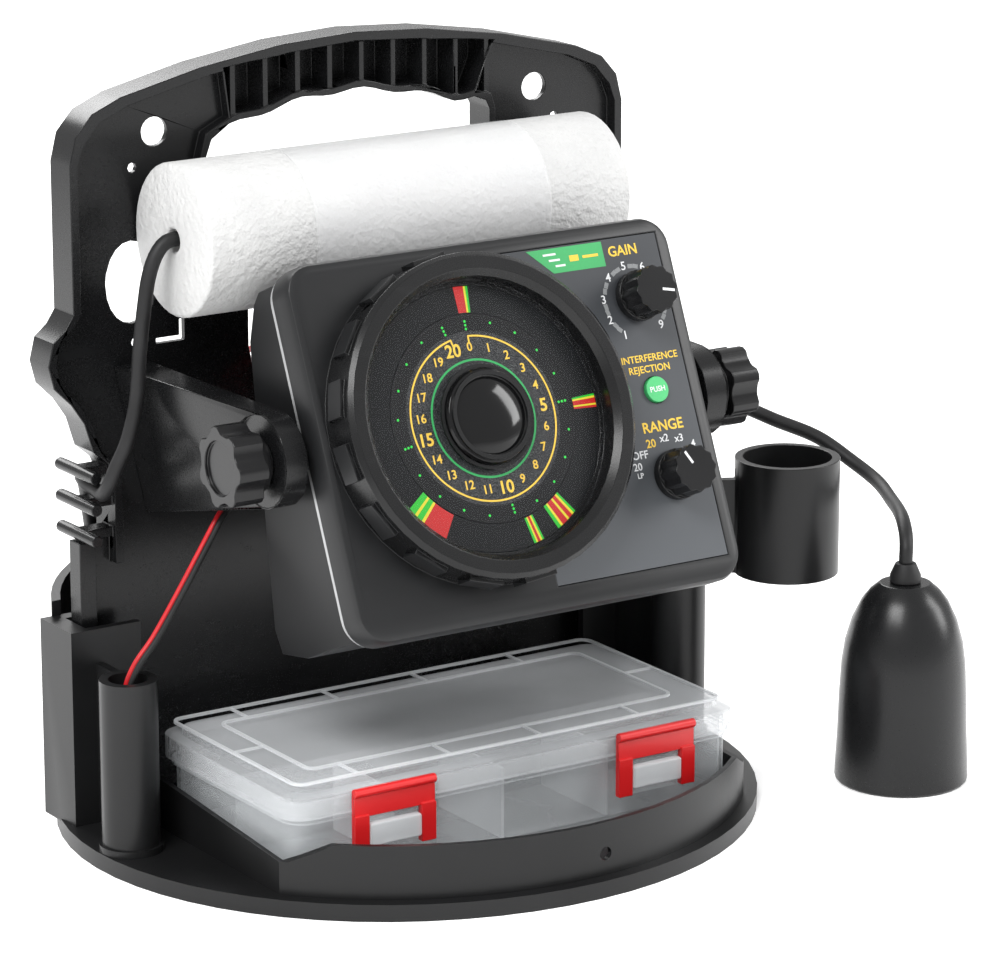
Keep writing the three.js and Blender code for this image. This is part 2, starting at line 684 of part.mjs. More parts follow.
function addSocket(name, side) {
  const x = side * plug.spacing;
  const barrel = turnedY([
    [0, -9],
    [plug.bore, -9],
    [plug.bore, gap],
    [plug.socket, gap],
    [plug.socket, gap + 2],
    [plug.bore, gap + 2],
    [plug.bore, gap + plug.barrel],
    [0, gap + plug.barrel],
  ], 20);
  addPiece(`${name}_socket`, onBack(barrel.translate(x, 0, 0)), 'steel', headGroup);
  const start = plugFront;
  const body = turnedY([
    [0, start],
    [plug.nut, start],
    [plug.nut, start + 9],
    [plug.nut - 2.4, start + 10],
    [plug.nut - 3.2, start + plug.length],
    [0, start + plug.length],
  ], 20);
  addPiece(`${name}_plug`, onBack(body.translate(x, 0, 0)), 'rubber', headGroup);
}

function ribbedKnob(standoff) {
  const start = face - standoff;
  const ribbed = outline(lobedProfile(knob.radius + 0.5, knob.radius - 0.5, knob.ribs, 48));
  const grip = slabY(ribbed, start - knob.thick, start - 3.5);
  const skirt = rodY(knob.skirt, start - 4, start, 0, 0, 28);
  const bore = rodY(knob.shaft + gap, start - knob.thick + 3, start + 1, 0, 0, 20);
  return cut(join(grip, skirt), bore);
}

function addControls() {
  const behind = face + head.wall + gap;
  const knobs = [['gain', controls.gainV, button.travel + 2 * gap], ['range', controls.rangeV, gap]];
  for (const [name, v, standoff] of knobs) {
    const knobGeometry = geometryOf(ribbedKnob(standoff)).translate(controls.u, 0, v);
    addPiece(`${name}_knob`, knobGeometry, 'rubber', headGroup);
    const shaftFront = face - standoff - knob.thick + 3 + gap;
    addPiece(`${name}_shaft`, rodY(knob.shaft, shaftFront, behind + 3, controls.u, v, 20), 'steel', headGroup);
    const bodyName = name === 'gain' ? 'gain_potentiometer' : 'range_switch';
    const can = cut(
      rodY(knob.pot, behind, behind + knob.potLength, controls.u, v, 28),
      rodY(knob.shaft + slip, behind - 1, behind + 3 + button.travel + slip, controls.u, v, 20),
    );
    addPiece(bodyName, can, 'steel', headGroup);
  }
  const buttonBack = face + head.wall + gap;
  const press = join(
    rodY(button.radius, face - button.proud, buttonBack + 1, controls.u, controls.buttonV, 28),
    rodY(button.flange, buttonBack, buttonBack + 1.5, controls.u, controls.buttonV, 28),
  );
  addPiece('push_button', press, 'green', headGroup);
  const switchFront = buttonBack + 1.5 + button.travel + slip;
  const u = controls.u;
  const v = controls.buttonV;
  addPiece('button_switch', block(u - 6, u + 6, switchFront, switchFront + 5, v - 6, v + 6), 'cell', headGroup);
}

function addDisplay() {
  const seat = face - drum.windowSeat - gap;
  const place = (geometry) => geometry.translate(dial.u, 0, dial.v);
  addPiece('display_window', place(rodY(drum.bore - gap, seat - windowThick, seat, 0, 0, 48)), 'clear', headGroup);
  const dialFront = seat + gap;
  addPiece('dial_plate', place(rodY(dial.radius, dialFront, dialFront + dial.thick, 0, 0, 44)), 'dial', headGroup);
  const capBack = seat - windowThick - gap;
  const dome = turnedY([
    [0, capBack - cap.height],
    [cap.dome * 0.5, capBack - cap.height + 0.7],
    [cap.dome * 0.8, capBack - cap.height + 1.9],
    [cap.dome, capBack - cap.height + 3.4],
    [cap.dome + 1.2, capBack - 3.6],
    [cap.radius - 0.8, capBack - 3],
    [cap.radius, capBack - 1.8],
    [cap.radius, capBack],
    [0, capBack],
  ], 30);
  addPiece('centre_cap', place(dome), 'gloss', headGroup);

  const discFront = face - rotor.back;
  const disc = cut(
    join(
      rodY(rotor.radius, discFront, discFront + rotor.thick, 0, 0, 44),
      rodY(rotor.hub, discFront, discFront + rotor.hubLength, 0, 0, 24),
    ),
    rodY(rotor.shaft + gap, discFront - 1, discFront + rotor.hubLength + 1, 0, 0, 16),
  );
  addPiece('led_rotor', place(geometryOf(disc)), 'dial', headGroup);
  const motorFront = face + motor.front;
  addPiece('rotor_shaft', place(rodY(rotor.shaft, discFront - 0.6, motorFront + 4, 0, 0, 16)), 'steel', headGroup);
  const can = cut(
    join(
      rodY(motor.radius, motorFront, motorFront + motor.length, 0, 0, 36),
      block(-19, 19, motorFront + motor.length - 1.5, motorFront + motor.length, -6, 6),
    ),
    rodY(rotor.shaft + gap, motorFront - 1, motorFront + 4 + gap, 0, 0, 16),
  );
  addPiece('rotor_motor', place(geometryOf(can)), 'steel', headGroup);
  const boardFront = face + board.depth;
  const bw = board.width / 2;
  const v0 = board.v - board.height / 2;
  const plate = block(-bw, bw, boardFront, boardFront + board.thick, v0, v0 + board.height);
  addPiece('main_board', plate, 'board', headGroup);
}

// ---------------------------------------------------------------- float, transducer and battery
function buildFloat() {
  return cut(
    rodX(float.radius, float.left, float.right, float.y, float.z, 40),
    rodX(float.bore, float.left - 1, float.right + 1, float.y, float.z, 16),
  );
}

function addTransducer() {
  const profile = [
    [0, 0],
    [29, 0],
    [30, 1.2],
    [29.8, 8],
    [29.1, 22],
    [28.6, 40],
    [27.8, 55],
    [26.4, 65],
    [23.6, 75],
    [19.6, 83.4],
    [15.6, 88.6],
    [11.5, 92],
    [0, 92],
  ];
  addPiece('transducer_body', turnedZ(profile, 28).translate(transducer.x, transducer.y, 0), 'rubber');
  const boot = turnedZ([
    [0, 92 + gap],
    [transducer.boss, 92 + gap],
    [transducer.boss, 95.5],
    [4.6, transducer.bossTop],
    [0, transducer.bossTop],
  ], 24);
  addPiece('transducer_boot', boot.translate(transducer.x, transducer.y, 0), 'rubber');
}

function addBattery() {
  const half = battery.width / 2;
  const z0 = base.thick + gap;
  const top = z0 + battery.height;
  const shape = roundedRect(-half, half, battery.y, battery.y + battery.depth, 4);
  addPiece('battery_case', slabZ(shape, z0, top - 12, 3), 'cell');
  addPiece('battery_cap', cut(
    slabZ(roundedRect(-half, half, battery.y, battery.y + battery.depth, 4), top - 12 + gap, top, 3),
    block(-26, 26, battery.y + 12, battery.y + 34, top - 3, top + 1),
  ), 'cell');
  const { positiveX, negativeX, half: reach } = terminal;
  for (const [name, x, toneName] of [['positive', positiveX, 'leadRed'], ['negative', negativeX, 'rubber']]) {
    const y = battery.y + terminal.inset;
    const tab = block(x - reach - 1, x + reach + 1, y - reach, y + reach, top - 3 + gap, terminalTop);
    addPiece(`battery_terminal_${name}`, tab, toneName);
  }
}

// ---------------------------------------------------------------- cords
const cords = [];

function addCord(name, geometry, toneName) {
  cords.push(addPiece(name, geometry, toneName));
}

// A point on the axis of a head plug, a set distance past its end, in the carrier's frame.
function plugAxisPoint(side, past) {
  const tip = new THREE.Vector3(side * plug.spacing, plugFront + plug.length + past, 0);
  const marker = onBack(new THREE.BufferGeometry().setFromPoints([tip]));
  marker.rotateX(-pivot.tilt).translate(0, pivot.y, pivot.z);
  return [...marker.attributes.position.array];
}

// The transducer cord runs from the head's plug up to the float, through its bore, round behind the upper
// fingers of the panel and down to a coil on the ground; from there it climbs to the transducer.
function addTransducerCord() {
  const { x: coilX, y: coilY, mean, section } = coil;
  const coilReach = mean + section + gap;
  const upper = [
    plugAxisPoint(1, gap),
    plugAxisPoint(1, 9),
    [50, 84, 158],
    [76, 93, 186],
    [100, 93, 215],
    [115, 86, 236],
    [119, 79, 250],
    [115.5, 77, 261],
    [float.right + 3, float.y, float.z],
    [float.right - 12, float.y, float.z],
    [0, float.y, float.z],
    [float.left + 12, float.y, float.z],
    [float.left - 3, float.y, float.z],
    [-115.5, 77, 261],
    [-119.3, 77.3, 252],
    [-121.5, 78.2, 238],
    [-123, 80, 219.5],
    [-124.8, 80.5, 198],
    [-128.6, 82.5, 180],
    [-132.3, 86, 168.5],
    [-134.4, 88.8, 160.5],
    [-134, 95, 155],
    [-132.8, 103, 154.8],
    [-131.5, 114, 154.8],
    [-127, 127, 154.5],
    [-118, 141, 147],
    [-106, 160, 127],
    [-98, 173, 114],
    [-92.5, 184, 108.5],
    [-87.5, 197, 101],
    [-83, 201, 80],
    [-74, 203, 48],
    [-62, 212, 18],
    [-48, 225, 5.5],
    [-30, 243, 3.6],
    [-12, 262, 3.6],
    [0, 276, 6],
    [coilX - coilReach - 7, coilY, section + gap],
    [coilX - coilReach, coilY, section + gap],
  ];
  addCord('transducer_cord_upper', cordSolid(upper, cordRadius, 54), 'rubber');

  const ring = arc(mean, 0, section, section, -Math.PI / 2, 1.5 * Math.PI, 8);
  addCord('transducer_cord_coil', turnedZ(ring, 24).translate(coilX, coilY, section + gap), 'rubber');

  const lower = [
    [coilX + coilReach, coilY, section + gap],
    [coilX + coilReach + 7, coilY, section + gap],
    [127, 276, 7.5],
    [132, 262, 4],
    [128, 244, 3.6],
    [119, 226, 5],
    [109, 209, 18],
    [101, 197.5, 48],
    [98, 193.5, 78],
    [96.5, 193.5, 98],
    [98, 183, 108],
    [103, 171, 113],
    [111, 157, 127],
    [120, 141, 147],
    [127, 127, 154.5],
    [131.5, 114, 154.8],
    [133, 103, 154.8],
    [136.5, 95, 154.6],
    [145, 91, 154],
    [160, 90.5, 153.5],
    [180, 91, 152],
    [197.9, 90, 148.6],
    [212.5, 80, 141.5],
    [228, 68, 133.7],
    [236.9, 54, 124.3],
    [238.5, 37, 118.3],
    [230, 15, 115.4],
    [218, -6, 116.5],
    [211, -17.5, 116],
    [206, -26, 112],
    [203.3, -29.8, 107],
    [transducer.x, transducer.y, transducer.bossTop + 3],
    [transducer.x, transducer.y, transducer.bossTop + gap],
  ];
  addCord('transducer_cord_lower', cordSolid(lower, cordRadius, 40), 'rubber');
}

// Twin red and black leads: a pair from the battery to the head's plug, and a pair from the battery to the
// charging jack in the left rod tube. The last number turns the black lead round the red one, from X to Y.
function addLeads() {
  const [tipX, tipY, tipZ] = plugAxisPoint(-1, gap);
  const [outX, outY, outZ] = plugAxisPoint(-1, 9);
  const terminalY = battery.y + terminal.inset;
  const power = [
    [-30, 141, 184, -45],
    [-41, 131, 197, -35],
    [-44.4, 122, 201.5, 0],
    [-45, 111, 203.5, 0],
    [-45, 100, 202, 0],
    [-41.5, 88, 190, 0],
    [outX - leadSpacing / 2, outY + 9, outZ + 16, 0],
    [outX - leadSpacing / 2, outY, outZ, 0],
    [tipX - leadSpacing / 2, tipY, tipZ, 0],
  ];
  const charge = [
    [-34, 132, 174, -59],
    [-40.5, 123, 185, -40],
    [-44, 112.5, 193.5, -20],
    [-47, 103, 196.5, -20],
    [-51, 96, 193, -30],
    [-55, 91, 182, -40],
    [-63, 84, 169, -50],
    [-76, 74, 159, -60],
    [-90, 64, 153, -75],
    [-98.5, 58.5, 148.5, -90],
    [-106.5, 58.5, 136.5, -90],
    [-118, 59, 118.5, -90],
    [-130.5, 60, 99.5, -90],
    [-139.5, 61, 88, -90],
    [-143.5, rodTube.y + leadSpacing / 2, 78, -90],
    [-144.5, rodTube.y + leadSpacing / 2, 60, -90],
    [-144.5, rodTube.y + leadSpacing / 2, 38, -90],
  ];
  const beside = (route) => route.map(([x, y, z, turn]) => {
    const angle = THREE.MathUtils.degToRad(turn);
    return [x + leadSpacing * Math.cos(angle), y + leadSpacing * Math.sin(angle), z];
  });
  const leads = [
    { name: 'red', x: terminal.positiveX, power, charge },
    { name: 'black', x: terminal.negativeX, power: beside(power), charge: beside(charge) },
  ];
  const front = terminalY - terminal.half - gap;
  const above = terminalTop + gap;
  for (const lead of leads) {
    const toneName = lead.name === 'red' ? 'leadRed' : 'rubber';
    const up = [[lead.x, terminalY, above], [lead.x, terminalY, above + 5]];
    const out = [[lead.x, front, above - 4], [lead.x, front - 5, above - 4]];
    const powerRoute = [...up, ...lead.power].map((p) => p.slice(0, 3));
    const chargeRoute = [...out, ...lead.charge].map((p) => p.slice(0, 3));
    addCord(`power_lead_${lead.name}`, cordSolid(powerRoute, leadRadius, 23), toneName);
    addCord(`charge_lead_${lead.name}`, cordSolid(chargeRoute, leadRadius, 38), toneName);
  }
}

// ---------------------------------------------------------------- tackle box
function buildBoxBase() {
  const w = box.halfWidth - box.inset;
  const y0 = box.front + box.inset;
  const y1 = box.back - box.inset;
  const z0 = base.thick + gap;
  const z1 = box.top - box.lid + 6;
  const outer = slabZ(roundedRect(-w, w, y0, y1, box.corner), z0, z1, 3);
  const inner = slabZ(
    roundedRect(-w + box.wall, w - box.wall, y0 + box.wall, y1 - box.wall, box.corner - box.wall),
    z0 + box.wall, z1 + 1, 3,
  );
  const midY = (y0 + y1) / 2;
  const long = block(-w + 1, w - 1, midY - boxRib.thick / 2, midY + boxRib.thick / 2, z0 + 1, z1 - boxRib.short);
  const ledgeZ = box.top - box.lid - gap;
  const ledge = cut(
    slabZ(roundedRect(-w - 2, w + 2, y0 - 2, y1 + 2, box.corner + 2), ledgeZ - 2.5, ledgeZ, 3),
    slabZ(roundedRect(-w + 1, w - 1, y0 + 1, y1 - 1, box.corner - 1), ledgeZ - 4, ledgeZ + 1, 3),
  );
  const catches = [-1, 1].map((side) => block(
    side * latch.x - 12, side * latch.x + 12, y0 - 5, y0 + 1, 20, ledgeZ - 3.2,
  ));
  const hingeY = box.back + boxHinge.radius + 0.6;
  const cheeks = [-1, 1].flatMap((side) => [-1, 1].map((end) => {
    const x = side * boxHinge.x + end * (boxHinge.tongue / 2 + gap + boxHinge.cheek / 2);
    return join(
      rodX(boxHinge.radius, x - boxHinge.cheek / 2, x + boxHinge.cheek / 2, hingeY, boxHinge.z, 14),
      block(
        x - boxHinge.cheek / 2, x + boxHinge.cheek / 2, y1 - 0.5, hingeY,
        boxHinge.z - boxHinge.radius, boxHinge.z - boxHinge.radius + 3,
      ),
    );
  }));
  const pinRoom = [-1, 1].map((side) => rodX(
    boxHinge.pin + gap, side * boxHinge.x - 14, side * boxHinge.x + 14, hingeY, boxHinge.z, 12,
  ));
  return cut(join(cut(outer, inner), long, ledge, ...catches, ...cheeks), ...pinRoom);
}

function buildBoxLid() {
  const w = box.halfWidth;
  const z0 = box.top - box.lid;
  const skin = slabZ(roundedRect(-w, w, box.front, box.back, box.corner + 2), z0, box.top - 3, 3);
  const raised = slabZ(
    roundedRect(-w + 6, w - 6, box.front + 6, box.back - 6, box.corner), box.top - 4, box.top, 3,
  );
  const room = slabZ(
    roundedRect(-w + box.wall, w - box.wall, box.front + box.wall, box.back - box.wall, box.corner),
    z0 - 1, box.top - 3 - box.wall, 3,
  );
  const raisedRoom = slabZ(
    roundedRect(-w + 8, w - 8, box.front + 8, box.back - 8, box.corner - 2), z0, box.top - box.wall, 3,
  );
  const hingeY = box.back + boxHinge.radius + 0.6;
  const tongues = [-1, 1].map((side) => {
    const x0 = side * boxHinge.x - boxHinge.tongue / 2;
    const x1 = side * boxHinge.x + boxHinge.tongue / 2;
    return join(
      rodX(boxHinge.radius, x0, x1, hingeY, boxHinge.z, 14),
      block(x0, x1, box.back - 1, hingeY + 1.5, boxHinge.z + 1, boxHinge.z + boxHinge.radius + 1.5),
    );
  });
  const pinRoom = [-1, 1].map((side) => rodX(
    boxHinge.pin + slip, side * boxHinge.x - 14, side * boxHinge.x + 14, hingeY, boxHinge.z, 12,
  ));
  return cut(join(cut(join(skin, raised), room, raisedRoom), ...tongues), ...pinRoom);
}

function latchAxis() {
  return { y: box.front - latch.hinge - 1, z: box.top - 4.5 };
}

function buildLatch(side) {
  const x = side * latch.x;
  const half = latch.width / 2;
  const axis = latchAxis();
  const y1 = box.front - gap;
  const y0 = y1 - latch.thick;
  const plateBottom = axis.z - 11;
  const roll = rodX(latch.hinge, x - half, x + half, axis.y + 0.7, axis.z, 16);
  const plate = block(x - half, x + half, y0, y1, plateBottom, axis.z);
  const legs = [-1, 1].map((end) => {
    const xe = x + end * (half - latch.leg / 2);
    return block(xe - latch.leg / 2, xe + latch.leg / 2, y0 - 1, y1, axis.z - latch.drop, plateBottom + 1);
  });
  return join(roll, plate, ...legs);
}

function addTackleBox() {
  addPiece('tackle_box_base', buildBoxBase(), 'box');
  addPiece('tackle_box_lid', buildBoxLid(), 'box');
  const hingeY = box.back + boxHinge.radius + 0.6;
  for (const [name, side] of [['left', -1], ['right', 1]]) {
    addPiece(`tackle_box_latch_${name}`, buildLatch(side), 'red');
    const x = side * boxHinge.x;
    addPiece(`tackle_box_pin_${name}`, rodX(boxHinge.pin, x - 10.5, x + 10.5, hingeY, boxHinge.z, 12), 'steel');
  }
  const y0 = box.front + box.inset + box.wall + gap;
  const midY = (box.front + box.back) / 2;
  const dividerTop = box.top - box.lid + 6 - boxRib.short - 1;
  [-62, -8, 46].forEach((x, i) => {
    const plate = block(
      x, x + boxRib.thick, y0, midY - boxRib.thick / 2 - gap, base.thick + gap + box.wall + gap, dividerTop,
    );
    addPiece(`divider_${i + 1}`, plate, 'box');
  });
}

// ---------------------------------------------------------------- assembly
addPiece('carrier_base', buildBase(), 'shell');
addPiece('carrier_panel', buildPanel(), 'gloss');
addPiece('transducer_cup', buildCup(), 'shell');
addGimbal('left', -1);
addGimbal('right', 1);
addPiece('head_bezel', buildBezel(), 'bezel', headGroup);
addPiece('head_gasket', buildGasket(), 'steel', headGroup);
addPiece('head_shell', buildShell(), 'bezel', headGroup);
addPiece('control_plate', buildLabel(), 'label', headGroup);
addDisplay();
addControls();
addSocket('transducer', 1);
addSocket('power', -1);
addPiece('foam_float', buildFloat(), 'foam');
addTransducer();
addBattery();
addTackleBox();
addTransducerCord();
addLeads();

// The origin is under the middle of the object, on the surface it stands on. The cords don't count in that.
object.updateMatrixWorld(true);
const extent = new THREE.Box3();
object.traverse((piece) => {
  if (piece.isMesh && !cords.includes(piece)) {
    extent.expandByObject(piece, true);
  }
});
const middle = extent.getCenter(new THREE.Vector3());
object.position.set(-middle.x, -middle.y, 0);

export default object;
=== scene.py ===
import bpy
import bmesh
import json
import math
from mathutils import Matrix, Vector
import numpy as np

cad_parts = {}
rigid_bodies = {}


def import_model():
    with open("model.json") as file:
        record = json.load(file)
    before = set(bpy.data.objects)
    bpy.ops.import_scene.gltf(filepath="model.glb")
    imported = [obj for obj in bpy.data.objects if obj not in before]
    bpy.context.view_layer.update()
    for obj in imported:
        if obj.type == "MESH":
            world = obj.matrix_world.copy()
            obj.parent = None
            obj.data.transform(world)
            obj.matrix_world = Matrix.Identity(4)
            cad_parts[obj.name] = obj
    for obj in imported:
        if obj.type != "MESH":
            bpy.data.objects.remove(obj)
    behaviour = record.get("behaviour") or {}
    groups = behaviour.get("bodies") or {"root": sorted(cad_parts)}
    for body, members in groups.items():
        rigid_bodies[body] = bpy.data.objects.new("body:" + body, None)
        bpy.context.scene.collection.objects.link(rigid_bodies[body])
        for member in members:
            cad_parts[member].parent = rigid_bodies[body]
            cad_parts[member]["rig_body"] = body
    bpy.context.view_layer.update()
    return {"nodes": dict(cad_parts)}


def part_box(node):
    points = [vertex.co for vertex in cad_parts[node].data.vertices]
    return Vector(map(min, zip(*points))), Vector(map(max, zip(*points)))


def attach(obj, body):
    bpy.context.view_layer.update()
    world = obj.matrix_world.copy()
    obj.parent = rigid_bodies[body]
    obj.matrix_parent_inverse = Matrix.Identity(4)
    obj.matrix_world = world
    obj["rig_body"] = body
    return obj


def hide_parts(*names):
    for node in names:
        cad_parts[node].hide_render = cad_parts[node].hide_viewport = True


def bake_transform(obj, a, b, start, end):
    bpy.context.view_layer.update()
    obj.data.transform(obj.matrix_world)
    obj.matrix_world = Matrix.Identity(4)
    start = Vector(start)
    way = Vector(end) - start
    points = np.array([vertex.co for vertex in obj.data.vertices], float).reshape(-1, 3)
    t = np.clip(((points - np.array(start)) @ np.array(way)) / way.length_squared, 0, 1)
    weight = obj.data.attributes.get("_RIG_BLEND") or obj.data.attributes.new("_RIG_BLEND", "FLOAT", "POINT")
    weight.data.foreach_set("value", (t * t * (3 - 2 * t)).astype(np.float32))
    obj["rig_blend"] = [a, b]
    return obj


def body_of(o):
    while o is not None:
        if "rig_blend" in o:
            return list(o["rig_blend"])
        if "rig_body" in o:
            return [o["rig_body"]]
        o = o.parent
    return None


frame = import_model()
nodes = frame["nodes"]
print("frame loaded:", len(nodes), "nodes")

mm = 0.001
rowShift = Vector((-37.75, -65.0, 0.0))  # from the case's own measuring point to the row frame, in mm
headPlace = Matrix.Translation((-0.03775, -0.0644, 0.187)) @ Matrix.Rotation(math.radians(-23.4), 4, "X")
dialPlace = {"u": -23.2, "v": -1.0}
bodyOfNode = {name: body_of(node)[0] for name, node in nodes.items()}


def placed(point):
    return (Vector(point) + rowShift) * mm


studio = {
    "cameraPlace": (-1.07615, -1.6439, 0.6746),
    "cameraTurn": (90 - 15.15, 0, -33.48),
    "lens": 166.1,
    "sensor": 36,
    "floorSize": 14.0,
    "worldLight": 0.72,
    "softboxes": [
        # name, place, aimed at, width, height, watts
        ("keyBox", (-1.6, -0.9, 2.1), (0, 0, 0.15), 1.4, 1.0, 62),
        ("sideBox", (1.9, -1.1, 1.2), (0, 0, 0.15), 0.7, 1.5, 34),
        ("backBox", (0.3, 2.0, 1.7), (0, 0, 0.2), 2.2, 0.7, 46),
    ],
}


def buildStudio():
    scene = bpy.context.scene
    camera = bpy.data.objects.new("camera", bpy.data.cameras.new("camera"))
    camera.data.lens = studio["lens"]
    camera.data.sensor_width = studio["sensor"]
    camera.location = studio["cameraPlace"]
    camera.rotation_euler = [math.radians(a) for a in studio["cameraTurn"]]
    scene.collection.objects.link(camera)
    scene.camera = camera

    half = studio["floorSize"] / 2
    mesh = bpy.data.meshes.new("floor")
    corners = [(-half, -half, 0), (half, -half, 0), (half, half, 0), (-half, half, 0)]
    mesh.from_pydata(corners, [], [(0, 1, 2, 3)])
    floor = bpy.data.objects.new("floor", mesh)
    scene.collection.objects.link(floor)
    shade = Shade("paleFloor", roughness=0.8, emission_strength=0.30)
    cloudy = shade.noise(1.3, detail=2)
    shade.set("Base Color", shade.mixColour(cloudy, (0.95, 0.95, 0.95), (0.97, 0.97, 0.97)))
    shade.set("Emission Color", (1.0, 1.0, 1.0))
    floor.data.materials.append(shade.material)

    world = bpy.data.worlds.new("paleRoom")
    world.use_nodes = True
    background = world.node_tree.nodes["Background"]
    background.inputs["Color"].default_value = (1, 1, 1, 1)
    background.inputs["Strength"].default_value = studio["worldLight"]
    scene.world = world
    scene.view_settings.view_transform = "Standard"

    for name, place, aim, width, height, watts in studio["softboxes"]:
        lamp = bpy.data.lights.new(name, "AREA")
        lamp.shape = "RECTANGLE"
        lamp.size = width
        lamp.size_y = height
        lamp.energy = watts
        box = bpy.data.objects.new(name, lamp)
        box.location = place
        box.rotation_euler = (Vector(aim) - Vector(place)).to_track_quat("-Z", "Y").to_euler()
        scene.collection.objects.link(box)


class Signal:
    # one socket of a material's tree, so that sums read as plain arithmetic
    def __init__(self, shade, socket):
        self.shade = shade
        self.socket = socket

    def maths(self, operation, *others):
        made = self.shade.node("ShaderNodeMath", {"operation": operation}, dict(enumerate([self, *others])))
        return Signal(self.shade, made.outputs[0])

    def __add__(self, other):
        return self.maths("ADD", other)

    def __radd__(self, other):
        return self.maths("ADD", other)

    def __sub__(self, other):
        return self.maths("SUBTRACT", other)

    def __rsub__(self, other):
        return self.maths("MULTIPLY", -1.0).maths("ADD", other)

    def __mul__(self, other):
        return self.maths("MULTIPLY", other)

    def __rmul__(self, other):
        return self.maths("MULTIPLY", other)

    def __truediv__(self, other):
        return self.maths("DIVIDE", other)

    def __rtruediv__(self, other):
        return self.maths("POWER", -1.0).maths("MULTIPLY", other)

    def __pow__(self, power):
        return self.maths("POWER", power)

    def remap(self, low, high, newLow=0.0, newHigh=1.0):
        # a clamped straight line from low..high to newLow..newHigh
        made = self.shade.node("ShaderNodeMapRange", {"clamp": True}, {
            "Value": self, "From Min": low, "From Max": high, "To Min": newLow, "To Max": newHigh})
        return Signal(self.shade, made.outputs[0])


class Shade:
    # one material with a Principled shader; uniform values go straight on its sockets
    def __init__(self, name, **uniform):
        self.material = bpy.data.materials.new(name)
        self.material.use_nodes = True
        self.tree = self.material.node_tree
        self.tree.nodes.clear()
        self.shader = self.node("ShaderNodeBsdfPrincipled")
        output = self.node("ShaderNodeOutputMaterial")
        self.tree.links.new(self.shader.outputs["BSDF"], output.inputs["Surface"])
        self.place = Signal(self, self.node("ShaderNodeTexCoord").outputs["Object"])
        for key, value in uniform.items():
            self.set(key.replace("_", " ").title().replace("Ior", "IOR"), value)

    def node(self, kind, settings=None, values=None):
        made = self.tree.nodes.new(kind)
        for key, value in (settings or {}).items():
            setattr(made, key, value)
        for key, value in (values or {}).items():
            self.feed(made.inputs[key], value)
        return made

    def feed(self, socket, value):
        if isinstance(value, Signal):
            self.tree.links.new(value.socket, socket)
        elif socket.type == "RGBA" and len(value) == 3:
            socket.default_value = (*value, 1.0)
        else:
            socket.default_value = value

    def set(self, name, value):
        self.feed(self.shader.inputs[name], value)

    def stretched(self, scale, turn=(0, 0, 0), shift=(0, 0, 0)):
        made = self.node("ShaderNodeMapping", None, {
            "Vector": self.place, "Location": shift, "Rotation": turn, "Scale": scale})
        return Signal(self, made.outputs[0])

    def noise(self, scale, detail=3.0, rough=0.5, place=None):
        made = self.node("ShaderNodeTexNoise", None, {
            "Vector": place or self.place, "Scale": scale, "Detail": detail, "Roughness": rough})
        return Signal(self, made.outputs["Fac"])

    def cells(self, scale, feature="F1", jitter=1.0, place=None, out="Distance"):
        made = self.node("ShaderNodeTexVoronoi", {"feature": feature}, {
            "Vector": place or self.place, "Scale": scale, "Randomness": jitter})
        return Signal(self, made.outputs[out])

    def mixColour(self, factor, first, second):
        made = self.node("ShaderNodeMix", {"data_type": "RGBA"}, {0: factor, 6: first, 7: second})
        return Signal(self, made.outputs[2])

    def bump(self, height, strength, depth, after=None):
        values = {"Strength": strength, "Distance": depth, "Height": height}
        if after:
            values["Normal"] = after
        made = self.node("ShaderNodeBump", None, values)
        return Signal(self, made.outputs[0])


def mouldedPlastic(name, dark, pale, rough, spread=0.10, grain=1400, grainDepth=0.00003, scratch=0.5):
    # satin moulded plastic: a fine spark-eroded grain, a faint bloom, hairline scuffs
    shade = Shade(name, specular_ior_level=0.32)
    bloom = shade.noise(9, detail=4)
    speck = shade.noise(grain, detail=1)
    fibres = shade.noise(46, detail=3, place=shade.stretched((1, 9, 3), turn=(0.3, 0.5, 0.9)))
    scuffs = fibres.remap(0.60, 0.74, 0.0, scratch)
    shade.set("Base Color", shade.mixColour(bloom.remap(0.35, 0.75) * 0.7 + scuffs * 0.25, dark, pale))
    shade.set("Roughness", rough + (bloom - 0.5) * spread + scuffs * 0.05 + (speck - 0.5) * 0.06)
    shade.set("Normal", shade.bump(speck * 0.9 + fibres * 0.06, 0.3, grainDepth))
    return shade.material


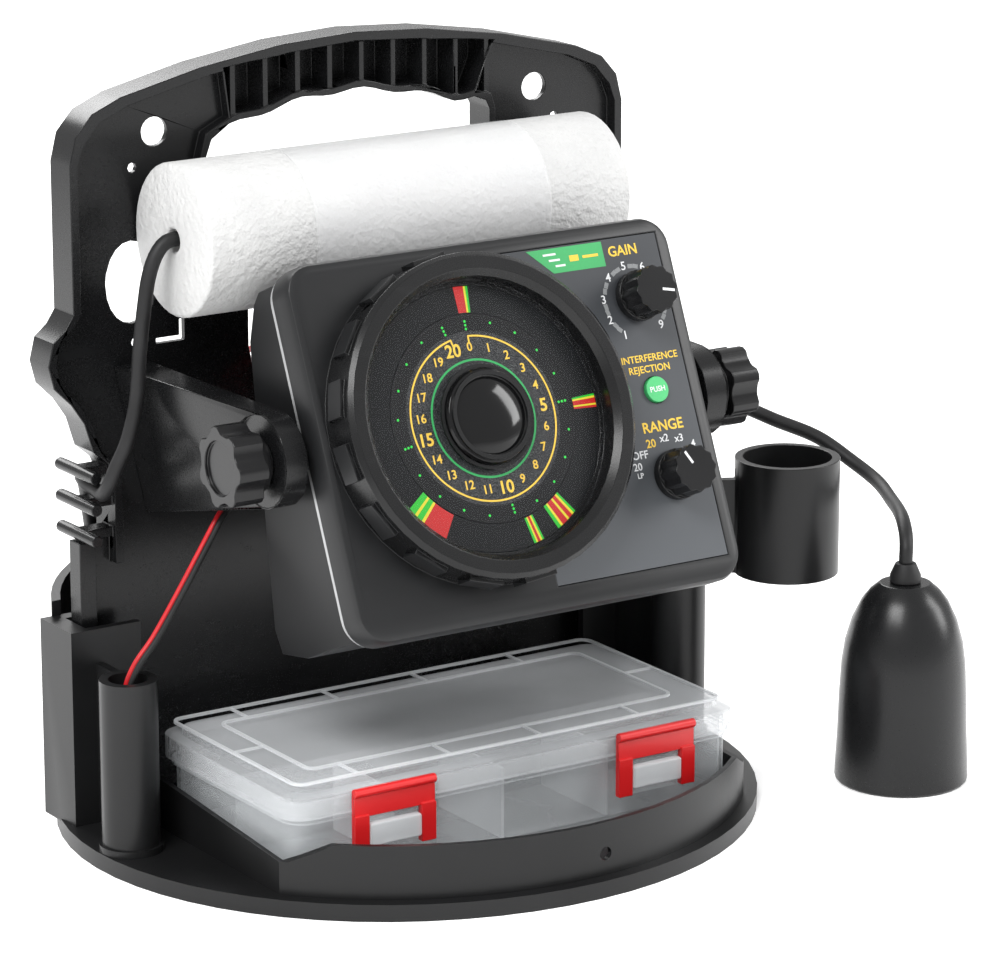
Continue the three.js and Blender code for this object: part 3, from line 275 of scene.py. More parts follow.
def makeFinishes():
    made = {}
    for name, dark, pale, rough, others in [
        ("casePlastic", (0.0075, 0.0076, 0.008), (0.016, 0.0163, 0.017), 0.36, {}),
        ("panelPlastic", (0.0055, 0.0056, 0.006), (0.011, 0.0113, 0.012), 0.27, {}),
        ("headPlastic", (0.011, 0.0113, 0.012), (0.018, 0.0185, 0.0195), 0.38, {"grain": 1800}),
        ("hoodPlastic", (0.005, 0.0051, 0.0054), (0.010, 0.0103, 0.011), 0.27, {"grain": 2200}),
        ("glossPlastic", (0.003, 0.003, 0.0032), (0.006, 0.006, 0.0065), 0.10,
         {"spread": 0.05, "grain": 2600, "grainDepth": 0.00001, "scratch": 0.25}),
        ("knobPlastic", (0.005, 0.005, 0.0054), (0.010, 0.010, 0.0108), 0.24, {"grain": 2400}),
    ]:
        made[name] = mouldedPlastic(name, dark, pale, rough, **others)

    shade = Shade("softRubber", specular_ior_level=0.35)
    dust = shade.noise(60, detail=5)
    pores = shade.noise(2600, detail=1)
    dusty = dust.remap(0.4, 0.75)
    shade.set("Base Color", shade.mixColour(dusty, (0.007, 0.007, 0.0074), (0.016, 0.016, 0.017)))
    shade.set("Roughness", 0.46 + dust * 0.16)
    shade.set("Normal", shade.bump(pores, 0.3, 0.00003))
    made["softRubber"] = shade.material

    shade = Shade("labelGrey", specular_ior_level=0.35)
    sweep = Signal(shade, shade.node("ShaderNodeSeparateXYZ", None, {0: shade.place}).outputs[2])
    film = shade.noise(2200, detail=1)
    # the label is painted lighter towards its bottom and darker towards its top: a painted sheen for the light
    # falling on its lower part
    height = sweep.remap(0.11, 0.25)
    shade.set("Base Color", shade.mixColour(height, (0.078, 0.084, 0.092), (0.040, 0.043, 0.048)))
    shade.set("Roughness", 0.40 + (film - 0.5) * 0.12)
    shade.set("Normal", shade.bump(film, 0.25, 0.00002))
    made["labelGrey"] = shade.material

    for name, scale, detail, first, second, rough, swing, others in [
        ("bannerGreen", 2200, 1, (0.028, 0.30, 0.085), (0.034, 0.36, 0.105), 0.42, 0.1, {}),
        ("smokedRing", 1900, 1, (0.0035, 0.0038, 0.0045), (0.0065, 0.007, 0.008), 0.28, 0.08,
         {"specular_ior_level": 0.25}),
        ("buttonGreen", 900, 2, (0.04, 0.40, 0.12), (0.06, 0.48, 0.16), 0.40, 0.12,
         {"coat_weight": 0.3, "coat_roughness": 0.2}),
        ("leadRed", 240, 3, (0.46, 0.006, 0.010), (0.62, 0.012, 0.018), 0.32, 0.16, {}),
        ("gasketSilver", 240, 3, (0.38, 0.385, 0.39), (0.55, 0.555, 0.56), 0.34, 0.15, {"metallic": 0.6}),
    ]:
        shade = Shade(name, **others)
        fleck = shade.noise(scale, detail=detail)
        shade.set("Base Color", shade.mixColour(fleck, first, second))
        shade.set("Roughness", rough + fleck * swing)
        made[name] = shade.material

    for name, first, second in [
        ("printYellow", (0.70, 0.46, 0.055), (0.80, 0.54, 0.08)),
        ("printWhite", (0.62, 0.63, 0.64), (0.74, 0.75, 0.76)),
        ("printGrey", (0.20, 0.21, 0.215), (0.26, 0.265, 0.27)),
        ("printGreen", (0.035, 0.34, 0.10), (0.05, 0.42, 0.13)),
        ("bandBlack", (0.004, 0.004, 0.0045), (0.008, 0.008, 0.009)),
    ]:
        shade = Shade(name, specular_ior_level=0.2)
        ink = shade.noise(2600, detail=2)
        shade.set("Base Color", shade.mixColour(ink.remap(0.35, 0.65), first, second))
        shade.set("Roughness", 0.42 + ink * 0.12)
        made[name] = shade.material

    shade = Shade("dialGrey", specular_ior_level=0.25)
    speck = shade.noise(2300, detail=1)
    dots = speck.remap(0.50, 0.66)
    shade.set("Base Color", shade.mixColour(dots, (0.010, 0.0105, 0.0115), (0.085, 0.088, 0.092)))
    shade.set("Roughness", 0.5 + (speck - 0.5) * 0.2)
    made["dialGrey"] = shade.material

    shade = Shade("clearWindow", roughness=0.04, ior=1.45, alpha=0.035)
    haze = shade.noise(55, detail=4)
    shade.set("Base Color", shade.mixColour(haze, (0.05, 0.055, 0.06), (0.09, 0.095, 0.10)))
    shade.set("Roughness", 0.03 + haze * 0.05)
    made["clearWindow"] = shade.material

    for name, colour, strength in [
        ("glowGreen", (0.02, 0.62, 0.03), 0.9),
        ("glowYellow", (0.90, 0.80, 0.03), 0.9),
        ("glowRed", (0.62, 0.006, 0.006), 0.95),
        ("dotGreen", (0.01, 0.60, 0.05), 0.9),
    ]:
        shade = Shade(name, roughness=0.4, emission_strength=strength)
        grain = shade.noise(1500, detail=1)
        dim = tuple(c * 0.72 for c in colour)
        unlit = tuple(c * 0.12 for c in colour)
        shade.set("Base Color", shade.mixColour(grain, unlit, dim if name == "dotGreen" else unlit))
        shade.set("Emission Color", shade.mixColour(grain, dim, colour))
        made[name] = shade.material

    shade = Shade("foamWhite", subsurface_weight=0.15, subsurface_radius=(0.004, 0.004, 0.004))
    beads = shade.cells(330, feature="SMOOTH_F1")
    small = shade.cells(760)
    crease = shade.noise(24, detail=4)
    # the foam is painted darker where the crease bump sinks and paler on its rises: painted shade in the creases
    shade.set("Base Color", shade.mixColour(crease.remap(0.3, 0.7), (0.50, 0.50, 0.50), (0.58, 0.58, 0.575)))
    shade.set("Roughness", 0.55 + small * 0.3)
    creased = shade.bump(crease, 0.5, 0.0012)
    shade.set("Normal", shade.bump(1.0 - beads + (1.0 - small) * 0.35, 0.75, 0.0009, creased))
    made["foamWhite"] = shade.material

    shade = Shade("clearWrap", roughness=0.12, alpha=0.22, ior=1.4, coat_weight=0.4, coat_roughness=0.08)
    ripple = shade.noise(70, detail=3, place=shade.stretched((0.4, 1, 1)))
    # the film is painted greyer where the ripple bump sinks and paler on its crests: painted shade and highlight on
    # the crinkles
    shade.set("Base Color", shade.mixColour(ripple, (0.86, 0.87, 0.88), (0.95, 0.95, 0.95)))
    shade.set("Normal", shade.bump(ripple, 0.5, 0.0008))
    made["clearWrap"] = shade.material

    for name, tint, alpha in [
        ("boxFrost", (0.74, 0.77, 0.79), 0.20),
        ("boxClear", (0.78, 0.80, 0.82), 0.19),
        ("boxRim", (0.82, 0.84, 0.86), 0.40),
    ]:
        shade = Shade(name, ior=1.46, specular_ior_level=0.45)
        edge = Signal(shade, shade.node("ShaderNodeLayerWeight", None, {"Blend": 0.35}).outputs["Facing"])
        frost = shade.noise(1300, detail=2)
        flow = shade.noise(22, detail=3)
        pale = tuple(min(1.0, c * 1.15) for c in tint)
        shade.set("Base Color", shade.mixColour(flow, tint, pale))
        shade.set("Roughness", 0.24 + frost * 0.14)
        shade.set("Alpha", alpha + (flow - 0.5) * 0.04 + edge ** 3.0 * 0.55)
        shade.set("Normal", shade.bump(frost, 0.2, 0.00004))
        made[name] = shade.material

    shade = Shade("latchRed", coat_weight=0.25, coat_roughness=0.15)
    flow = shade.noise(30, detail=4)
    shade.set("Base Color", shade.mixColour(flow, (0.56, 0.006, 0.008), (0.68, 0.012, 0.014)))
    shade.set("Roughness", 0.30 + flow * 0.14)
    shade.set("Normal", shade.bump(shade.noise(1500, detail=1), 0.2, 0.00002))
    made["latchRed"] = shade.material

    shade = Shade("steel", metallic=1.0)
    brushed = shade.noise(60, detail=4, place=shade.stretched((1, 30, 30)))
    shade.set("Base Color", shade.mixColour(brushed, (0.45, 0.46, 0.47), (0.66, 0.67, 0.68)))
    shade.set("Roughness", 0.24 + brushed * 0.18)
    shade.set("Normal", shade.bump(brushed, 0.15, 0.00003))
    made["steel"] = shade.material

    shade = Shade("circuitBoard")
    traces = shade.cells(420, feature="DISTANCE_TO_EDGE", jitter=0.2)
    weave = shade.noise(900, detail=1)
    copper = traces.remap(0.02, 0.10)
    shade.set("Base Color", shade.mixColour(copper, (0.05, 0.22, 0.09), (0.012, 0.085, 0.035)))
    shade.set("Roughness", 0.35 + weave * 0.2)
    shade.set("Normal", shade.bump(copper, 0.3, 0.00005))
    made["circuitBoard"] = shade.material

    shade = Shade("batteryCase")
    dust = shade.noise(30, detail=5)
    shade.set("Base Color", shade.mixColour(dust.remap(0.4, 0.8), (0.016, 0.016, 0.017), (0.04, 0.04, 0.042)))
    shade.set("Roughness", 0.5 + dust * 0.15)
    shade.set("Normal", shade.bump(shade.noise(900, detail=2), 0.3, 0.00005))
    made["batteryCase"] = shade.material
    return made


def addPiece(name, mesh, material, body, replaced=()):
    piece = bpy.data.objects.new(name, mesh)
    bpy.context.scene.collection.objects.link(piece)
    if material:
        mesh.materials.clear()
        mesh.materials.append(material)
    if replaced:
        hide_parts(*replaced)
    if body:
        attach(piece, body)
    return piece


def bakeModifiers(piece):
    # the evaluated shape as a plain mesh, with no modifier left
    depsgraph = bpy.context.evaluated_depsgraph_get()
    depsgraph.update()
    return bpy.data.meshes.new_from_object(piece.evaluated_get(depsgraph), depsgraph=depsgraph)


def smoothed(mesh, angle):
    mesh.polygons.foreach_set("use_smooth", [True] * len(mesh.polygons))
    mesh.set_sharp_from_angle(angle=math.radians(angle))
    return mesh


def weldedCopy(node):
    # a clean mesh of a node, with its doubled points merged
    source = node.data
    keys = {}
    corners = []
    points = []
    for vertex in source.vertices:
        key = tuple(round(c * 1e6) for c in vertex.co)
        if key not in keys:
            keys[key] = len(points)
            points.append(vertex.co.copy())
        corners.append(keys[key])
    faces = [tuple(corners[v] for v in face.vertices) for face in source.polygons]
    mesh = bpy.data.meshes.new(node.name + "Shape")
    mesh.from_pydata(points, [], [face for face in faces if len(set(face)) == 3])
    return mesh


def easedCopy(mesh, width, segments, limit=None, harden=False):
    # the mesh with its edges bevelled; width in mm, limit in degrees
    blank = bpy.data.objects.new("easedBlank", mesh)
    bpy.context.scene.collection.objects.link(blank)
    if width > 0:
        bevel = blank.modifiers.new("ease", "BEVEL")
        bevel.width = width * mm
        bevel.segments = segments
        if limit:
            bevel.limit_method = "ANGLE"
            bevel.angle_limit = math.radians(limit)
            bevel.use_clamp_overlap = False
        bevel.harden_normals = harden
    eased = bakeModifiers(blank)
    bpy.data.objects.remove(blank)
    return eased


rounding = {"segments": 2, "limit": 32, "smooth": 38}


def roundedNode(name, width, material):
    # a node's own shape with its outer edges eased, standing for that node
    eased = easedCopy(smoothed(weldedCopy(nodes[name]), rounding["smooth"]), width, rounding["segments"],
                      rounding["limit"], harden=True)
    eased.name = name + "_shaped"
    return addPiece(name + "_shaped", eased, material, bodyOfNode[name], [name])


def joined(name, parts):
    # one mesh from several meshes, each with its own place
    shape = bmesh.new()
    for mesh, place in parts:
        copy = mesh.copy()
        copy.transform(place)
        shape.from_mesh(copy)
        bpy.data.meshes.remove(copy)
    mesh = bpy.data.meshes.new(name)
    shape.to_mesh(mesh)
    shape.free()
    return mesh


def plate(outline, thick):
    # a flat plate from an anticlockwise outline in mm, its back at 0 and its face at +thick
    count = len(outline)
    points = [(x * mm, y * mm, z * mm) for z in (0, thick) for x, y in outline]
    faces = [tuple(reversed(range(count))), tuple(range(count, 2 * count))]
    faces += [(i, (i + 1) % count, count + (i + 1) % count, count + i) for i in range(count)]
    mesh = bpy.data.meshes.new("plate")
    mesh.from_pydata(points, [], faces)
    return mesh


def sector(inner, outer, thick, start=0.0, end=360.0, step=2.0):
    # a ring or part of one in mm; angles run clockwise from straight up
    whole = end - start >= 360
    count = max(2, math.ceil((end - start) / step)) + (0 if whole else 1)
    spread = count if whole else count - 1
    points, faces = [], []
    for i in range(count):
        angle = math.radians(start + (end - start) * i / spread)
        s, c = math.sin(angle), math.cos(angle)
        for radius, z in ((inner, 0), (outer, 0), (outer, thick), (inner, thick)):
            points.append((radius * s * mm, radius * c * mm, z * mm))
    for i in range(count if whole else count - 1):
        a, b = 4 * i, 4 * ((i + 1) % count)
        faces += [(a + k, a + (k + 1) % 4, b + (k + 1) % 4, b + k) for k in range(4)]
    if not whole:
        last = 4 * (count - 1)
        faces += [(3, 2, 1, 0), (last, last + 1, last + 2, last + 3)]
    mesh = bpy.data.meshes.new("sector")
    mesh.from_pydata(points, [], faces)
    return outwards(mesh)


def outwards(mesh):
    shape = bmesh.new()
    shape.from_mesh(mesh)
    bmesh.ops.remove_doubles(shape, verts=shape.verts, dist=1e-7)
    bmesh.ops.recalc_face_normals(shape, faces=shape.faces)
    shape.to_mesh(mesh)
    shape.free()
    return mesh


def bar(width, height, thick):
    w, h = width / 2, height / 2
    return plate([(-w, -h), (w, -h), (w, h), (-w, h)], thick)


def lettering(words, size, thick=0.08, weight=0.0):
    curve = bpy.data.curves.new("lettering", "FONT")
    curve.body = words
    curve.size = size * mm
    curve.align_x = "CENTER"
    curve.align_y = "CENTER"
    curve.extrude = thick / 2 * mm
    curve.offset = weight * mm
    curve.resolution_u = 3
    written = bpy.data.objects.new("lettering", curve)
    bpy.context.scene.collection.objects.link(written)
    mesh = bakeModifiers(written)
    bpy.data.objects.remove(written)
    mesh.transform(Matrix.Translation((0, 0, thick / 2 * mm)))
    return mesh


def onFace(u, v, depth, turn=0.0):
    # a place on the head's face, looking out of it: u across, v up, depth into the head, in mm
    stand = Matrix.Rotation(math.radians(90), 4, "X") @ Matrix.Rotation(math.radians(turn), 4, "Z")
    return headPlace @ Matrix.Translation((u * mm, depth * mm, v * mm)) @ stand


def onDial(depth, angle=0.0, radius=0.0, turn=0.0):
    away = math.radians(angle)
    across, up = radius * math.sin(away), radius * math.cos(away)
    return onFace(dialPlace["u"] + across, dialPlace["v"] + up, depth, turn)


def arcTree():
    # copies of a small round stud set along an arc, one step apart, on top of the XY plane
    tree = bpy.data.node_groups.new("studsOnArc", "GeometryNodeTree")
    face = tree.interface
    face.new_socket("Geometry", in_out="OUTPUT", socket_type="NodeSocketGeometry")
    for label, kind, value in [
        ("Count", "Int", 21), ("Radius", "Float", 0.04), ("First Angle", "Float", 0.0),
        ("Step Angle", "Float", 0.3), ("Stud Radius", "Float", 0.001), ("Stud Height", "Float", 0.0001),
        ("Stud Sides", "Int", 12), ("Finish", "Material", None),
    ]:
        socket = face.new_socket(label, in_out="INPUT", socket_type="NodeSocket" + kind)
        if value is not None:
            socket.default_value = value
    start = tree.nodes.new("NodeGroupInput")
    end = tree.nodes.new("NodeGroupOutput")
    join = tree.links.new

    def maths(operation, first, second=None):
        made = tree.nodes.new("ShaderNodeMath")
        made.operation = operation
        join(first, made.inputs[0])
        if second is not None:
            join(second, made.inputs[1])
        return made.outputs[0]

    index = tree.nodes.new("GeometryNodeInputIndex").outputs[0]
    angle = maths("ADD", maths("MULTIPLY", index, start.outputs["Step Angle"]), start.outputs["First Angle"])
    across = maths("MULTIPLY", maths("SINE", angle), start.outputs["Radius"])
    up = maths("MULTIPLY", maths("COSINE", angle), start.outputs["Radius"])
    place = tree.nodes.new("ShaderNodeCombineXYZ")
    join(across, place.inputs[0])
    join(up, place.inputs[1])
    dots = tree.nodes.new("GeometryNodePoints")
    join(start.outputs["Count"], dots.inputs["Count"])
    join(place.outputs[0], dots.inputs["Position"])
    stud = tree.nodes.new("GeometryNodeMeshCylinder")
    join(start.outputs["Stud Sides"], stud.inputs["Vertices"])
    join(start.outputs["Stud Radius"], stud.inputs["Radius"])
    join(start.outputs["Stud Height"], stud.inputs["Depth"])
    copies = tree.nodes.new("GeometryNodeInstanceOnPoints")
    join(dots.outputs[0], copies.inputs["Points"])
    join(stud.outputs["Mesh"], copies.inputs["Instance"])
    real = tree.nodes.new("GeometryNodeRealizeInstances")
    join(copies.outputs["Instances"], real.inputs["Geometry"])
    paint = tree.nodes.new("GeometryNodeSetMaterial")
    join(real.outputs["Geometry"], paint.inputs["Geometry"])
    join(start.outputs["Finish"], paint.inputs["Material"])
    join(paint.outputs["Geometry"], end.inputs["Geometry"])
    return tree


def studsOn(tree, finish, **inputs):
    # the tree's result for these inputs as a plain mesh
    blank = bpy.data.objects.new("studBlank", bpy.data.meshes.new("studBlank"))
    bpy.context.scene.collection.objects.link(blank)
    modifier = blank.modifiers.new("studs", "NODES")
    modifier.node_group = tree
    sockets = {item.name: item.identifier for item in tree.interface.items_tree if item.in_out == "INPUT"}
    for label, value in inputs.items():
        modifier[sockets[label]] = value
    modifier[sockets["Finish"]] = finish
    mesh = bakeModifiers(blank)
    bpy.data.objects.remove(blank)
    return mesh


cordSizes = {
    "cord": 6.4,       # diameters, mm
    "lead": 2.7,
    "step": 2.6,       # length of one sample along a route
    "coilX": 62.0,
    "coilY": 282.0,
    "coilOuter": 45.1,
    "coilInner": 25.6,
    "coilBase": 4.3,   # height of the lower layer's centreline
    "coilRise": 6.5,
    "tieWidth": 7.0,
    "tieThick": 0.8,
    "tieCorner": 3.0,
    "leadStep": 2.0,
    "plugPush": 5.0,   # how far a lead runs straight out of the battery
}


def smoothRoute(points, step):
    # centripetal Catmull-Rom through the points, sampled evenly, in mm
    pts = [Vector(p) for p in points]
    pts = [2 * pts[0] - pts[1], *pts, 2 * pts[-1] - pts[-2]]
    dense = []
    for a, b, c, d in zip(pts, pts[1:], pts[2:], pts[3:]):
        t0 = 0.0
        t1 = t0 + (b - a).length ** 0.5
        t2 = t1 + (c - b).length ** 0.5
        t3 = t2 + (d - c).length ** 0.5
        for i in range(24):
            t = t1 + (t2 - t1) * i / 24
            p1 = a * ((t1 - t) / (t1 - t0)) + b * ((t - t0) / (t1 - t0))
            p2 = b * ((t2 - t) / (t2 - t1)) + c * ((t - t1) / (t2 - t1))
            p3 = c * ((t3 - t) / (t3 - t2)) + d * ((t - t2) / (t3 - t2))
            q1 = p1 * ((t2 - t) / (t2 - t0)) + p2 * ((t - t0) / (t2 - t0))
            q2 = p2 * ((t3 - t) / (t3 - t1)) + p3 * ((t - t1) / (t3 - t1))
            dense.append(q1 * ((t2 - t) / (t2 - t1)) + q2 * ((t - t1) / (t2 - t1)))
    dense.append(pts[-2])
    lengths = [0.0]
    for p, q in zip(dense, dense[1:]):
        lengths.append(lengths[-1] + (q - p).length)
    count = max(4, round(lengths[-1] / step))
    even = []
    at = 0
    for i in range(count + 1):
        want = lengths[-1] * i / count
        while at < len(lengths) - 2 and lengths[at + 1] < want:
            at += 1
        share = (want - lengths[at]) / max(1e-9, lengths[at + 1] - lengths[at])
        even.append(dense[at].lerp(dense[at + 1], min(1.0, max(0.0, share))))
    return even, lengths[-1]


def tube(name, route, radius, sides=14):
    # a closed round tube along a route in mm, its rings carried along without twist
    points, faces = [], []
    forward = (route[1] - route[0]).normalized()
    side = forward.orthogonal().normalized()
    for i, centre in enumerate(route):
        ahead = route[min(i + 1, len(route) - 1)] - route[max(i - 1, 0)]
        ahead.normalize()
        side = (side - ahead * side.dot(ahead)).normalized()
        up = ahead.cross(side)
        for k in range(sides):
            angle = 2 * math.pi * k / sides
            spot = centre + (side * math.cos(angle) + up * math.sin(angle)) * radius
            points.append((spot + rowShift) * mm)
    for i in range(len(route) - 1):
        for k in range(sides):
            a, b = i * sides + k, i * sides + (k + 1) % sides
            faces.append((a, b, b + sides, a + sides))
    last = (len(route) - 1) * sides
    faces.append(tuple(reversed(range(sides))))
    faces.append(tuple(range(last, last + sides)))
    mesh = bpy.data.meshes.new(name)
    mesh.from_pydata(points, [], faces)
    return smoothed(outwards(mesh), 60)


def coilRoute():
    # in along the floor, round inwards, up a layer, round outwards, and off
    size = cordSizes
    base, rise = size["coilBase"], size["coilRise"]
    route = []

    def at(angle, radius, z):
        turn = math.radians(angle)
        route.append((size["coilX"] + radius * math.cos(turn), size["coilY"] + radius * math.sin(turn), z))

    pitch = (size["coilOuter"] - size["coilInner"]) / 3
    for i in range(0, 3 * 360 + 1, 20):
        at(150 - i, size["coilOuter"] - pitch * i / 360, base)
    for i in range(18, 91, 18):
        share = i / 90
        at(150 - i, size["coilInner"], base + rise * share * share * (3 - 2 * share))
    turned = 3 * 360 + 15
    spread = size["coilOuter"] + 0.4 - size["coilInner"]
    for i in range(20, turned + 1, 20):
        at(60 - i, size["coilInner"] + spread * i / turned, base + rise)
    return route


plugTip = (36, 56.541, 145.959)
plugBoot = (36, 65.152, 144.714)
powerTip = (-36, 56.541, 145.959)
powerBoot = (-36, 65.152, 144.714)
headCordPoints = [
    plugTip, plugBoot, (50, 84, 158), (76, 93, 186), (100, 93, 215), (115, 86, 236), (119, 79, 250),
    (115.5, 77, 261), (107, 76.8, 265.5), (92, 76.8, 265.5), (70, 76.8, 265.5), (50, 76.8, 265.5),
]
floatCordPoints = [
    (50, 76.8, 265.5), (0, 76.8, 265.5), (-60, 76.8, 265.5), (-95.7, 76.8, 265.5), (-110.7, 76.8, 265.5),
    (-115.5, 77, 261), (-119.3, 77.3, 252), (-121.5, 78.2, 238), (-123, 80, 219.5), (-124.8, 80.5, 198),
    (-128.6, 82.5, 180), (-132.3, 86, 168.5), (-134.4, 88.8, 160.5), (-134, 95, 155), (-132.8, 103, 154.8),
    (-131.5, 114, 154.8), (-127, 127, 154.5), (-118, 141, 147), (-106, 160, 127), (-98, 173, 114),
    (-92.5, 184, 108.5), (-87.5, 197, 101), (-83, 201, 80), (-74, 203, 48), (-62, 212, 18), (-48, 225, 5.5),
    (-30, 243, 3.6), (-12, 261, 3.8), (4, 280, 4.1), (14, 293, 4.3),
]
hangingCordPoints = [
    (105, 308, 10.8), (116, 298, 9.6), (125, 283, 6.6), (130, 264, 4.2), (128, 244, 3.6), (119, 226, 5),
    (109, 209, 18), (101, 197.5, 48), (98, 193.5, 78), (96.5, 193.5, 98), (98, 183, 108), (103, 171, 113),
    (111, 157, 127), (120, 141, 147), (127, 127, 154.5), (131.5, 114, 154.8), (133, 103, 154.8),
    (136.5, 95, 154.6), (145, 91, 154), (160, 90.5, 153.5), (180, 91, 152), (197.9, 90, 148.6),
    (212.5, 80, 141.5), (228, 68, 133.7), (236.9, 54, 124.3), (238.5, 37, 118.3), (230, 15, 115.4),
    (218, -6, 116.5), (211, -17.5, 116), (206, -26, 112), (203.3, -29.8, 107), (203, -30, 104),
    (203, -30, 101.3),
]
powerPoints = [
    (-30, 141, 184, -45), (-41, 131, 197, -35), (-44.4, 122, 201.5, 0), (-45, 111, 203.5, 0),
    (-45, 100, 202, 0), (-41.5, 88, 190, 0), (-37.7, 74.152, 160.714, 0), (-37.7, 65.152, 144.714, 0),
    (-37.7, 56.541, 145.959, 0),
]
chargePoints = [
    (-34, 132, 174, -59), (-40.5, 123, 185, -40), (-44, 112.5, 193.5, -20), (-47, 103, 196.5, -20),
    (-51, 96, 193, -30), (-55, 91, 182, -40), (-63, 84, 169, -50), (-76, 74, 159, -60), (-90, 64, 153, -75),
    (-98.5, 58.5, 148.5, -90), (-106.5, 58.5, 136.5, -90), (-118, 59, 118.5, -90), (-130.5, 60, 99.5, -90),
    (-139.5, 61, 88, -90), (-143.5, 61.7, 78, -90), (-144.5, 61.7, 60, -90), (-144.5, 61.7, 38, -90),
]
leadGap = 3.4


def besideLead(points):
    # the black lead's points, each to one side of the red lead's
    shifted = []
    for x, y, z, turn in points:
        way = math.radians(turn)
        shifted.append((x + leadGap * math.cos(way), y + leadGap * math.sin(way), z, turn))
    return shifted


def coilTie(finishes):
    # a strap round the coil's turns
    size = cordSizes
    inner = size["coilInner"] - size["cord"] / 2 - 0.3
    outer = size["coilOuter"] + size["cord"] / 2 + 0.9
    low = size["coilBase"] - size["cord"] / 2 - 0.1
    high = size["coilBase"] + size["coilRise"] + size["cord"] / 2 + 0.2
    corner = size["tieCorner"]
    loop = []
    for cx, cz, first in [(outer - corner, high - corner, 0), (inner + corner, high - corner, 90),
                          (inner + corner, low + corner, 180), (outer - corner, low + corner, 270)]:
        for step in range(0, 91, 18):
            angle = math.radians(first + step)
            s, c = math.sin(angle), math.cos(angle)
            loop.append((cx + corner * c, cz + corner * s, c, s))
    thick, wide = size["tieThick"], size["tieWidth"] / 2
    points, faces = [], []
    for r, z, dr, dz in loop:
        for out, across in ((0, -wide), (thick, -wide), (thick, wide), (0, wide)):
            points.append(placed((size["coilX"] + across, size["coilY"] - r - dr * out, z + dz * out)))
    count = len(loop)
    for i in range(count):
        a, b = 4 * i, 4 * ((i + 1) % count)
        faces += [(a + k, a + (k + 1) % 4, b + (k + 1) % 4, b + k) for k in range(4)]
    mesh = bpy.data.meshes.new("coil_tie")
    mesh.from_pydata(points, [], faces)
    mesh = smoothed(outwards(mesh), 40)
    return addPiece("coil_tie", mesh, finishes["softRubber"], "carrier")


def buildCords(finishes):
    radius = cordSizes["cord"] / 2
    step = cordSizes["step"]

    def rowPath(route):
        return [tuple((p + rowShift) * mm) for p in route]

    route, length = smoothRoute(headCordPoints, step)
    mesh = tube("transducer_cord_to_head", route, radius)
    piece = addPiece("transducer_cord_to_head", mesh, finishes["softRubber"], None)
    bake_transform(piece, "carrier", "head", start=placed((100, 93, 215)), end=placed((36, 58, 146)))
    length * mm
    rowPath(route)
    print("cord to the head:", round(length), "mm")

    route, length = smoothRoute([*floatCordPoints, *coilRoute(), *hangingCordPoints], step)
    mesh = tube("transducer_cord_long", route, radius, sides=12)
    piece = addPiece("transducer_cord_long", mesh, finishes["softRubber"], "carrier",
                     ["transducer_cord_upper", "transducer_cord_coil", "transducer_cord_lower"])
    tie = coilTie(finishes)
    length * mm
    rowPath(route)
    print("long transducer cord:", round(length), "mm")

    leadRadius = cordSizes["lead"] / 2
    push = cordSizes["plugPush"]
    for colour, x, shiftRoute, material, slot in [
        ("red", -14, list, finishes["leadRed"], "lead_red"),
        ("black", 2, besideLead, finishes["softRubber"], "rubber_black"),
    ]:
        for kind, first, second, points, body in [
            ("power_lead_", (x, 151, 161.1), (x, 151, 161.1 + push), powerPoints, None),
            ("charge_lead_", (x, 147.7, 157.1), (x, 147.7 - push, 157.1), chargePoints, "carrier"),
        ]:
            spots = [first, second, *[p[:3] for p in shiftRoute(points)]]
            route, length = smoothRoute(spots, cordSizes["leadStep"])
            name = kind + colour + "_wire"
            mesh = tube(name, route, leadRadius, sides=12)
            piece = addPiece(name, mesh, material, body, [kind + colour])
            if not body:
                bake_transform(piece, "carrier", "head", start=placed((-43, 94, 196)), end=placed((-36.5, 57, 146)))
            length * mm
            rowPath(route)
    print("leads done")


